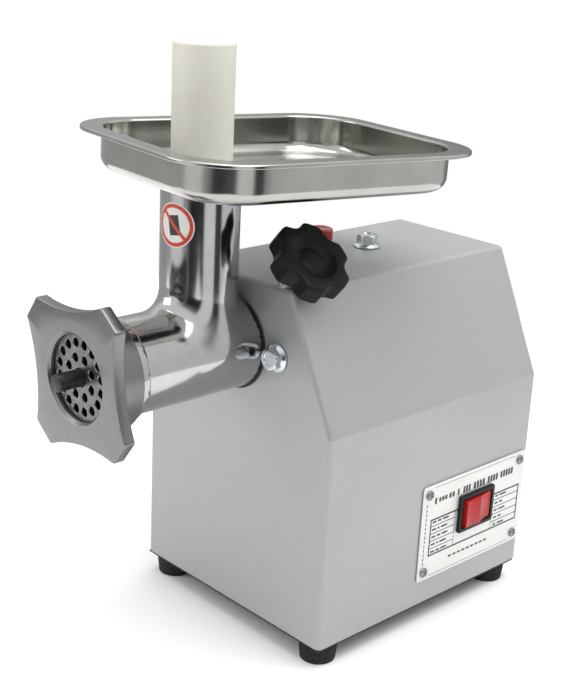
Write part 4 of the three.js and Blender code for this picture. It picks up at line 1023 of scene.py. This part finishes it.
def star_outline():
    corner = Vector((RING_REACH, RING_LOBE / 2))
    lobe_half = math.atan2(corner.y, corner.x)
    across_, along_ = (corner.length * f(math.pi / 4 - lobe_half) for f in (math.sin, math.cos))
    centre = (along_ ** 2 + across_ ** 2 - RING_WAIST ** 2) / (2 * (along_ - RING_WAIST))
    sweep = math.atan2(across_, centre - along_)
    points = []
    for lobe in range(4):
        hollow = RING_TURN + math.pi / 2 * (lobe + 1)
        for i in range(25):
            turn_here = sweep * (i / 12 - 1)
            u = centre - (centre - RING_WAIST) * math.cos(turn_here)
            v = (centre - RING_WAIST) * math.sin(turn_here)
            points.append((u * math.cos(hollow) - v * math.sin(hollow),
                           u * math.sin(hollow) + v * math.cos(hollow)))
    return evenly(points, 480, 4)


star = star_outline()
star_in = inward(star)
star_angles = [math.atan2(p.y, p.x) for p in star]


def ring_loop(size, y, star_shaped=False):
    """A loop of the ring nut at depth y: a star inset by size, or a circle of radius size."""
    if star_shaped:
        flat = [p + n * size for p, n in zip(star, star_in)]
    else:
        flat = [Vector((size * math.cos(a), size * math.sin(a))) for a in star_angles]
    return [(DRIVE_X + p.x, y, DRIVE_Z + p.y) for p in flat]


RING_FRONT, RING_BACK = extent("ring_nut")[0].y, extent("ring_nut")[1].y
ring_loops = [ring_loop(30.2, RING_FRONT), ring_loop(36, RING_FRONT)]
ring_loops += [ring_loop(inset, RING_FRONT + depth, True) for inset, depth in
               ((1.0, 0), (0.45, 0.12), (0.12, 0.45), (0, 1.0), (0, 7.0), (0.12, 7.55), (0.45, 7.88),
                (1.0, 8.0))]
bore = rounded([(41.5, RING_FRONT + 8), (38.6, RING_FRONT + 8, 2.5), (38.6, RING_BACK, 0.8),
                (35.6, RING_BACK, 0.3),
                (35.6, -122.6), (31.6, -122.6), (31.6, RING_FRONT + 4), (28.4, RING_FRONT + 4, 0.3),
                (28.4, RING_FRONT + 1.8)],
               steps=4)
ring_loops += [ring_loop(r, y) for r, y in bore]
show(new_piece("star_ring", loft(ring_loops, "ring")), "ring_metal", "ring", ["ring_nut"], crease=38)

# %% [markdown]
# ## The cutting plate and the auger
# The plate is a disc drilled with two circles of holes; each hole has a small broken edge, so the light
# catches round it. The auger is a cast screw. Its section turns as it goes along the axis, which makes the
# flight. In front it has a square for the knife and a pin that turns in the plate's middle.

# %% Plate with its holes
lowest, highest = extent("cutting_plate")
plate = new_piece("drilled_plate", moved(turned(rounded([
    (0.05, lowest.y), (30.95, lowest.y, 0.6), (30.95, highest.y, 0.6), (0.05, highest.y),
], steps=3), steps=128), on_drive))
depth = highest.y - lowest.y


def drill(radius, x, z, steps=32):
    chamfer = 0.45
    shape = turned([(radius + chamfer + 1, -1), (radius, chamfer), (radius, depth - chamfer),
                    (radius + chamfer + 1, depth + 1)], steps=steps)
    return moved(shape, at(DRIVE_X + x, lowest.y, DRIVE_Z + z, "Y"))


PIN_HOLE, MINCE_HOLE = 6.05, 3.0
hole_circles = ((8, 13), (16, 22.5))
places = [(r, 2 * math.pi * (i + 0.5) / count) for count, r in hole_circles for i in range(count)]
carve(plate, together(drill(PIN_HOLE, 0, 0, 48),
                      *[drill(MINCE_HOLE, r * math.cos(a), r * math.sin(a)) for r, a in places]))
show(plate, "plate_steel", "head", ["cutting_plate"], crease=30)

# %% Auger
AUGER, CORE, PITCH = 25.2, 9.0, 27.0
flight_front, flight_back = -111.1, -8.0
blade, foot_of_blade = math.radians(20), math.radians(36)


def flight_radius(angle):
    away = abs((angle + math.pi) % (2 * math.pi) - math.pi)
    share = min(max((foot_of_blade - away) / (foot_of_blade - blade), 0), 1)
    return CORE + (AUGER - CORE) * share * share * (3 - 2 * share)


turns = [2 * math.pi * i / 90 for i in range(90)]
rows = 132
screw_loops = []
for row in range(rows + 1):
    y = flight_back + (flight_front - flight_back) * row / rows
    lead = 2 * math.pi * (flight_back - y) / PITCH
    screw_loops.append([(DRIVE_X + flight_radius(a) * math.cos(a + lead), y,
                         DRIVE_Z + flight_radius(a) * math.sin(a + lead))
                        for a in turns])
auger = new_piece("auger_screw", loft(screw_loops))
PIN_TIP = extent("auger")[0].y
SQUARE = rectangle(12, 12, 0.8, arc=3)
carve(auger, moved(turned(rounded([(0.05, -11), (9, -11), (9, SHANK_Y - 0.5, 0.8), (0.05, SHANK_Y - 0.5)]),
                          steps=96),
                   on_drive), "UNION")
carve(auger, moved(slab(SQUARE, [(SHANK_Y - 3, 0), (extent("auger")[1].y - 0.8, 0),
                                 (extent("auger")[1].y, 0.8)]),
                   on_drive), "UNION")
carve(auger, moved(slab(SQUARE, [(-119.4, 0.3), (-119.0, 0), (-107, 0)]), on_drive), "UNION")
carve(auger, moved(turned(rounded([(0.05, PIN_TIP), (5.75, PIN_TIP, 0.9), (5.75, -107), (0.05, -107)],
                                  steps=4), steps=64),
                   on_drive), "UNION")
show(auger, "auger_steel", "auger_set", ["auger"], crease=40)

# %% [markdown]
# ## The tray
# The tray is drawn from thin stainless sheet and polished. Its wall leans into the floor with a round
# bottom edge, its corners are wide, and its flange ends in a turned-down lip that gives a bright line all
# round. A spigot under the floor drops into the neck. One loft follows the sheet on both faces, from the
# spigot over the floor, up the wall, round the lip and back underneath. The tray sits a little crooked on
# the neck, so it is drawn in its own frame and then laid in its seat.

# %% The pan
TRAY_W, TRAY_L, TRAY_BACK = 187.0, 227.5, 56.5
TRAY_CORNER, FLANGE, BOTTOM_EDGE = 43.5, 11.5, 15.0
FLOOR_INSET = FLANGE + BOTTOM_EDGE
UNDER, SHEET_TOP, RIM_UNDER, RIM_TOP = 1.3, 2.8, 27.8, 29.3
SPIGOT_IN, SPIGOT_OUT, SPIGOT_END, FLOOR_HOLE = 21.2, 22.3, -16, 25
seat = (Matrix.Translation((DRIVE_X, NECK_Y, neck_top / MM)) @ Matrix.Rotation(math.radians(-1.77), 4, "X")
        @ Matrix.Rotation(math.radians(-8.5), 4, "Z"))


def pan_loop(inset, z):
    corner = TRAY_CORNER - 4 * min(inset / FLANGE, 1) - max(inset - FLANGE, 0)
    return [(x, y, z) for x, y in rectangle(
        TRAY_W - 2 * inset, TRAY_L - 2 * inset, corner, 0, TRAY_BACK, 14, 22)]


pan_directions = [math.atan2(y, x) for x, y, _ in pan_loop(FLOOR_INSET, 0)]
pan_count = len(pan_directions)
unrolled = [pan_directions[0]]
for a in pan_directions[1:]:
    unrolled.append(unrolled[-1] + (a - unrolled[-1]) % (2 * math.pi))
hole_angles = [0.5 * a + 0.5 * (unrolled[0] + 2 * math.pi * i / pan_count) for i, a in enumerate(unrolled)]


def hole_loop(radius, z):
    return [(radius * math.cos(a), radius * math.sin(a), z) for a in hole_angles]


def floor_loop(share, z):
    edge, hole = pan_loop(FLOOR_INSET, z), hole_loop(FLOOR_HOLE, z)
    return [tuple(Vector(h).lerp(Vector(e), share)) for e, h in zip(edge, hole)]


spigot = rounded([(FLOOR_HOLE, UNDER), (SPIGOT_OUT, UNDER, 0.8), (SPIGOT_OUT, SPIGOT_END, 0.4),
                  (SPIGOT_IN, SPIGOT_END, 0.4), (SPIGOT_IN, SHEET_TOP, 1.4), (FLOOR_HOLE, SHEET_TOP)],
                 steps=4)
wall = rounded([(FLOOR_INSET + 3, SHEET_TOP), (13.0, SHEET_TOP, 13.5), (13.0, RIM_TOP, 1.6),
                (0, RIM_TOP, 1.1),
                (0, RIM_UNDER - 1.2, 0.5), (1.3, RIM_UNDER - 1.2, 0.4), (1.3, RIM_UNDER, 0.3),
                (FLANGE, RIM_UNDER, 2.2), (FLANGE, UNDER, BOTTOM_EDGE), (FLOOR_INSET + 3, UNDER)], steps=9)
tray_loops = [hole_loop(r, z) for r, z in spigot] + [floor_loop(s, SHEET_TOP) for s in (0.25, 0.5, 0.75)]
tray_loops += [pan_loop(inset, z) for inset, z in wall] + [floor_loop(s, UNDER) for s in (0.75, 0.5, 0.25)]
show(new_piece("feed_pan", moved(loft(tray_loops, "ring"), seat)), "tray_steel", "tray_pan", ["tray"],
     crease=50)

# %% [markdown]
# ## The plunger
# The plunger is a solid bar of food-grade plastic, turned with soft edges. It shows fine lathe marks and a
# faint mould colour, and it lets a little light in, so its finish has some subsurface scatter.

# %% The bar
lowest, highest = extent("plunger")
bar = turned(rounded([
    (0.05, lowest.z), (20, lowest.z, 2), (20, highest.z, 2.2), (12, highest.z), (0.05, highest.z - 0.15)],
                     steps=7), steps=128)
show(new_piece("push_bar", moved(bar, at(DRIVE_X, NECK_Y, 0))), "plunger_plastic", "stomper", ["plunger"],
     crease=50)

# %% [markdown]
# ## The clamp
# The clamp is a threaded rod with a moulded lobed knob that presses on the head's shank. The knob's lobes
# are flat at the end with shallow hollows between, and its face is dished, with a raised rim. It is a loft
# of one outline, inset to round the edges.

# %% The knob
KNOB_R = 27.5
KNOB_HUB, KNOB_HEIGHT = 10, 15
fold_reach = (TOP_HALF - DRIVE_X) * math.sin(clamp_lean) + (TOP_Z - DRIVE_Z) * math.cos(clamp_lean)
KNOB_BACK = fold_reach + KNOB_HUB + 1.3
KNOB_FACE = KNOB_BACK + KNOB_HEIGHT
reaches = [(-0.22, 1), (-0.11, 1.004), (0.11, 1.004), (0.22, 1), (0.36, 0.88), (0.5, 0.84), (0.64, 0.88)]
lobe_points = [(KNOB_R * r, (lobe + share) * math.pi / 3) for lobe in range(6) for share, r in reaches]
knob_path = [(r * math.cos(a), r * math.sin(a)) for r, a in lobe_points]
knob_outline = evenly(knob_path, 360, 6)
knob_in = inward(knob_outline)
knob_angles = [math.atan2(p.y, p.x) for p in knob_outline]


def knob_loop(size, t, lobed):
    if lobed:
        return [(p + n * size).to_3d() + Vector((0, 0, t)) for p, n in zip(knob_outline, knob_in)]
    return [(size * math.cos(a), size * math.sin(a), t) for a in knob_angles]


EDGE = 2.4
edge_round = [(EDGE * (1 - math.cos(a)), EDGE * math.sin(a)) for a in (math.pi / 2 * i / 7 for i in range(8))]
knob_loops = [knob_loop(r, t, False) for r, t in (
    (0.05, KNOB_BACK - KNOB_HUB), (7.4, KNOB_BACK - KNOB_HUB), (8, KNOB_BACK - KNOB_HUB + 0.6),
    (8, KNOB_BACK - 1), (9, KNOB_BACK))]
knob_loops += [knob_loop(inset, KNOB_BACK + EDGE - rise, True) for inset, rise in reversed(edge_round)]
knob_loops += [knob_loop(inset, KNOB_FACE - EDGE + rise, True) for inset, rise in edge_round]
knob_loops += [knob_loop(r, t, False) for r, t in (
    (17.4, KNOB_FACE), (16.8, KNOB_FACE - 0.2), (16, KNOB_FACE - 0.9), (14.6, KNOB_FACE - 2.4),
    (12.6, KNOB_FACE - 3.5),
    (10.2, KNOB_FACE - 4.0), (8.4, KNOB_FACE - 4.0), (7.6, KNOB_FACE - 3.5), (6.6, KNOB_FACE - 3.1),
    (4, KNOB_FACE - 2.8),
    (0.05, KNOB_FACE - 2.7))]
knob = new_piece("lobed_knob", moved(loft(knob_loops), clamp_frame))
carve(knob, moved(rod(5.3, 70, KNOB_FACE - 6), clamp_frame))
show(knob, "knob_plastic", "clamp", ["clamp_knob"], crease=50)

# %% The threaded rod
rod_from, rod_to, rod_radius = 26.6, KNOB_FACE - 6.3, 5.0
THREAD, THREAD_DEPTH, PLAIN_END, ROWS_A_TURN = 1.5, 0.42, 4, 12
threaded = rod_to - rod_from - 2 * PLAIN_END
thread_angles = [2 * math.pi * i / 24 for i in range(24)]
loops = []
length_steps = int(threaded / THREAD * ROWS_A_TURN)
for row in range(length_steps + 1):
    t = rod_from + PLAIN_END + threaded * row / length_steps
    fade = min(1, row / ROWS_A_TURN, (length_steps - row) / ROWS_A_TURN)
    radii = [rod_radius - THREAD_DEPTH * fade * (0.5 + 0.5 * math.cos(a - 2 * math.pi * t / THREAD))
             for a in thread_angles]
    loops.append([(r * math.cos(a), r * math.sin(a), t) for r, a in zip(radii, thread_angles)])


def plain_loop(radius, t):
    return [(radius * math.cos(a), radius * math.sin(a), t) for a in thread_angles]


loops = [plain_loop(3.6, rod_from), plain_loop(4.4, rod_from + 0.8), plain_loop(4.4, rod_from + 3.5)] + loops
loops.append(plain_loop(4.6, rod_to))
show(new_piece("clamp_thread", moved(loft(loops), clamp_frame)), "clamp_steel", "clamp", ["clamp_screw"],
     crease=40)

# %% [markdown]
# ## The rating plate and the switch
# The plate is a thin aluminium sheet with rounded corners, printed in black. Its print is made of thin
# raised bars: a frame, a title bar, rows of a table and short dashes that stand where words would be, so
# that nothing on it can be read. The switch is a rocker in a black frame.

# %% The plate
plate_mid = (plate_low + plate_high) / 2
plate_w, plate_h = plate_high.y - plate_low.y, plate_high.z - plate_low.z
PLATE_FACE = plate_high.x
# In this frame X runs down the plate and Y runs along it, and Z points out.
plate_frame = at(0, plate_mid.y, plate_mid.z, "X")
sheet_metal = slab(rectangle(plate_h, plate_w, 2.2, arc=6), [(plate_low.x, 0.15), (plate_low.x + 0.15, 0),
                                                             (PLATE_FACE - 0.2, 0),
                                                            (PLATE_FACE, 0.2)])
rating = new_piece("rating_sheet", moved(sheet_metal, plate_frame))
carve(rating, together(
    moved(slab(rectangle(*SWITCH_HOLE, 1), [(-6, 0), (6, 0)]), at(SIDE, switch_y, switch_z, "X")),
    *[moved(rod(SCREW_HOLE, -6, 6, 24), at(SIDE, p.y, p.z, "X")) for p in plate_screws]))
show(rating, "rating_foil", "base", ["rating_plate"])

# %% Its print
def bar_on_plate(y0, y1, z0, z1, soft=0.15):
    """A thin printed bar between two depths y and two heights z."""
    loop = rectangle(abs(z1 - z0), abs(y1 - y0), min(soft, abs(z1 - z0) * 0.3, abs(y1 - y0) * 0.3), arc=2)
    bar_shape = slab(loop, [(PLATE_FACE + 0.005, 0), (PLATE_FACE + 0.06, 0.01)])
    return moved(bar_shape, at(0, (y0 + y1) / 2, (z0 + z1) / 2, "X"))


y_left, y_right, z_low, z_high = plate_low.y + 10, plate_high.y - 4, 53.5, 83.5
line = 1.3
printed = [
    bar_on_plate(y_left, y_right, z_high - line, z_high), bar_on_plate(y_left, y_right, z_low, z_low + line),
    bar_on_plate(y_left, y_left + line, z_low, z_high), bar_on_plate(y_right - line, y_right, z_low, z_high),
]
switch_from, switch_to = switch_y - 22, switch_y + 22
row_gap = (z_high - z_low) / 5
for i in range(1, 5):
    z = z_low + i * row_gap
    printed += [bar_on_plate(y_left, switch_from, z - line / 4, z + line / 4),
                bar_on_plate(switch_to, y_right, z - line / 4, z + line / 4)]
printed += [bar_on_plate(switch_from - 0.4, switch_from, z_low, z_high),
            bar_on_plate(switch_to, switch_to + 0.4, z_low, z_high)]
for i in range(5):
    z = z_low + (i + 0.5) * row_gap
    for start, widths in ((y_left + 2.5, (6, 4, 9)), (switch_to + 3, (5, 8))):
        y = start
        for k, width in enumerate(widths):
            wide = width * (0.75 + 0.25 * math.sin(3.1 * i + 1.7 * k))
            printed.append(bar_on_plate(y, y + wide, z - 0.75, z + 0.75))
            y += wide + 1.6
title = ((13, 3, 5.2), (17.6, 10, 3.6), (29, 7, 4.2), (38.5, 2.6, 5.2), (45, 9, 5.6), (57, 14, 5.6),
         (73.5, 13, 5.6), (89, 16, 5.6))
for start, width, tall in title:
    count = max(1, round(width / 3.4))
    for n in range(count):
        y = plate_low.y + start + n * width / count
        printed.append(bar_on_plate(y, y + width / count * 0.74, 97.5 - tall / 2, 97.5 + tall / 2, 0.6))
for n in range(9):
    y = plate_low.y + 34 + n * 5.2
    printed.append(bar_on_plate(y, y + 3.6, 45.6, 47.2))
for n in range(14):
    z = plate_low.z + 13 + n * (plate_h - 26) / 14
    printed.append(bar_on_plate(plate_low.y + 4.4, plate_low.y + 5.3, z, z + 2.4))
for z in (plate_low.z + 2.2, plate_high.z - 2.6):
    printed.append(bar_on_plate(plate_low.y + 12, plate_high.y - 12, z, z + 0.35))
show(new_piece("rating_print", together(*printed)), "print_black", "base")

# %% The switch frame
body_low, body_high = extent("switch_body")
FACE, BODY = body_high.x, body_low.x
OUTER_W, OUTER_L = body_high.z - body_low.z, body_high.y - body_low.y
BORDER = 3.2
levels = [(BODY, 1.5, 0.3), (BODY + 0.3, 1.5, 0.0), (FACE - 2.7, 1.5, 0.0), (FACE - 2.7, 0.25, 0),
          (FACE - 2.45, 0, 0), (FACE - 1.0, 0, 0),
          (FACE - 0.3, 0.3, 0), (FACE, 1.0, 0), (FACE, BORDER - 0.4, 0), (FACE - 0.4, BORDER, 0),
          (BODY + 3, BORDER, 0), (BODY + 3, 11.5, 0)]
switch_loops = []
for x, inset, soft in levels:
    inset_now = inset + soft
    switch_loops.append([(a, b, x) for a, b in rectangle(OUTER_W - 2 * inset_now, OUTER_L - 2 * inset_now,
                                                         max(2 - inset_now * 0.4, 0.5), arc=5)])
show(new_piece("switch_frame", moved(loft(switch_loops), at(0, switch_y, switch_z, "X"))),
     "bezel_plastic", "base", ["switch_body"], crease=38)

# %% The rocker
ROCKER_TILT = math.radians(6.5)
half, ridge = (OUTER_L - 2 * BORDER) / 2 - 1.2, 6.0
end = ridge - half * math.tan(ROCKER_TILT)
width = OUTER_W - 2 * BORDER - 2
front = []
for i in range(41):
    u = -half + 2 * half * i / 40
    share = abs(u) / half
    hollow, lip = 0.55 * math.sin(math.pi * share), 0.35 * max(0, share - 0.85) / 0.15
    front.append((u, ridge + (end - ridge) * share - hollow + lip))
side_path = rounded([(half, 0), (half / 2, -7, 1), (-half / 2, -7, 1), (-half, 0)], steps=3)
section = evenly(front + side_path, 220, 2)
in_way = inward(section)
doubled_area = sum(here.cross(section[i - 1]) for i, here in enumerate(section))
if doubled_area > 0:    # the loop runs clockwise, so its left is outside
    in_way = [-n for n in in_way]
rocker_loops = [[((p + n * inset).x, (p + n * inset).y, z) for p, n in zip(section, in_way)] for z, inset in (
    (-width / 2, 0.7), (-width / 2 + 0.2, 0.25), (-width / 2 + 0.7, 0), (width / 2 - 0.7, 0),
    (width / 2 - 0.2, 0.25), (width / 2, 0.7))]
rocker_frame = (Matrix.Translation((FACE - 3.5, switch_y, switch_z))
                @ Matrix.Rotation(ROCKER_TILT - math.pi / 2, 4, "Z"))
show(new_piece("red_rocker", moved(loft(rocker_loops), rocker_frame)), "rocker_plastic", "rocker",
     ["switch_rocker"], crease=45)

# %% [markdown]
# ## A round sticker on the neck
# A small round sticker is wrapped on the neck: white, with a plain dark bar under a red ring and stroke.
# Each layer is a thin curved skin just proud of the one below it, and all of them ride with the head.

# %% The sticker
STICKER_R, STICKER_TURN = 14.6, math.radians(-79)
STICKER_Z = DRIVE_Z + 89.5


def on_neck(u, v, lift):
    angle = STICKER_TURN + u / NECK
    return (DRIVE_X + (NECK + lift) * math.cos(angle), NECK_Y + (NECK + lift) * math.sin(angle),
            STICKER_Z + v)


def band(inner, outer, lift, thick, steps=72):
    middle_ring = (inner + outer) / 2
    rings = [(inner, lift), (middle_ring, lift), (outer, lift), (outer, lift + thick),
             (middle_ring, lift + thick), (inner, lift + thick)]
    return loft([[on_neck(r * math.cos(2 * math.pi * i / steps), r * math.sin(2 * math.pi * i / steps), h)
                  for i in range(steps)]
                 for r, h in rings], "ring")


def stroke(length, width_, lift, thick, lean, rows=24, columns=8):
    """A thin bar laid on the round neck: it is divided across its width too, so that it follows the curve."""
    across_ = [-width_ / 2 + width_ * k / columns for k in range(columns + 1)]
    outline_ = [(w, lift) for w in across_] + [(w, lift + thick) for w in reversed(across_)]
    loops_ = []
    for i in range(rows + 1):
        s = -length / 2 + length * i / rows
        loops_.append([on_neck(s * math.cos(lean) - w * math.sin(lean),
                               s * math.sin(lean) + w * math.cos(lean), h)
                       for w, h in outline_])
    return loft(loops_)


paper_rings = ([(r, 0.02) for r in (0.02, 4, 8, 12, STICKER_R)]
               + [(r, 0.09) for r in (STICKER_R, 12, 8, 4, 0.02)])
white = loft([[on_neck(r * math.cos(2 * math.pi * i / 72), r * math.sin(2 * math.pi * i / 72), h)
               for i in range(72)] for r, h in paper_rings])
show(new_piece("sticker_paper", white), "sticker_white", "head")
show(new_piece("sticker_ring", together(band(STICKER_R - 3.2, STICKER_R - 0.8, 0.12, 0.05),
                                          stroke(2 * STICKER_R - 4, 2.2, 0.13, 0.06, math.radians(-45)))),
     "sticker_red", "head")
show(new_piece("sticker_mark", stroke(13, 8.5, 0.1, 0.02, math.radians(-80))), "print_black", "head")

# %% [markdown]
# ## Last measures
# The visual model has to stay inside the CAD model's box, so both boxes are written down side by side.

# %% Sizes
visual_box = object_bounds()
for name, box in (("cad", cad_box), ("visual", visual_box)):
    print(name, [[round(v / MM, 1) for v in corner] for corner in box])
print("pieces made:", len(made))
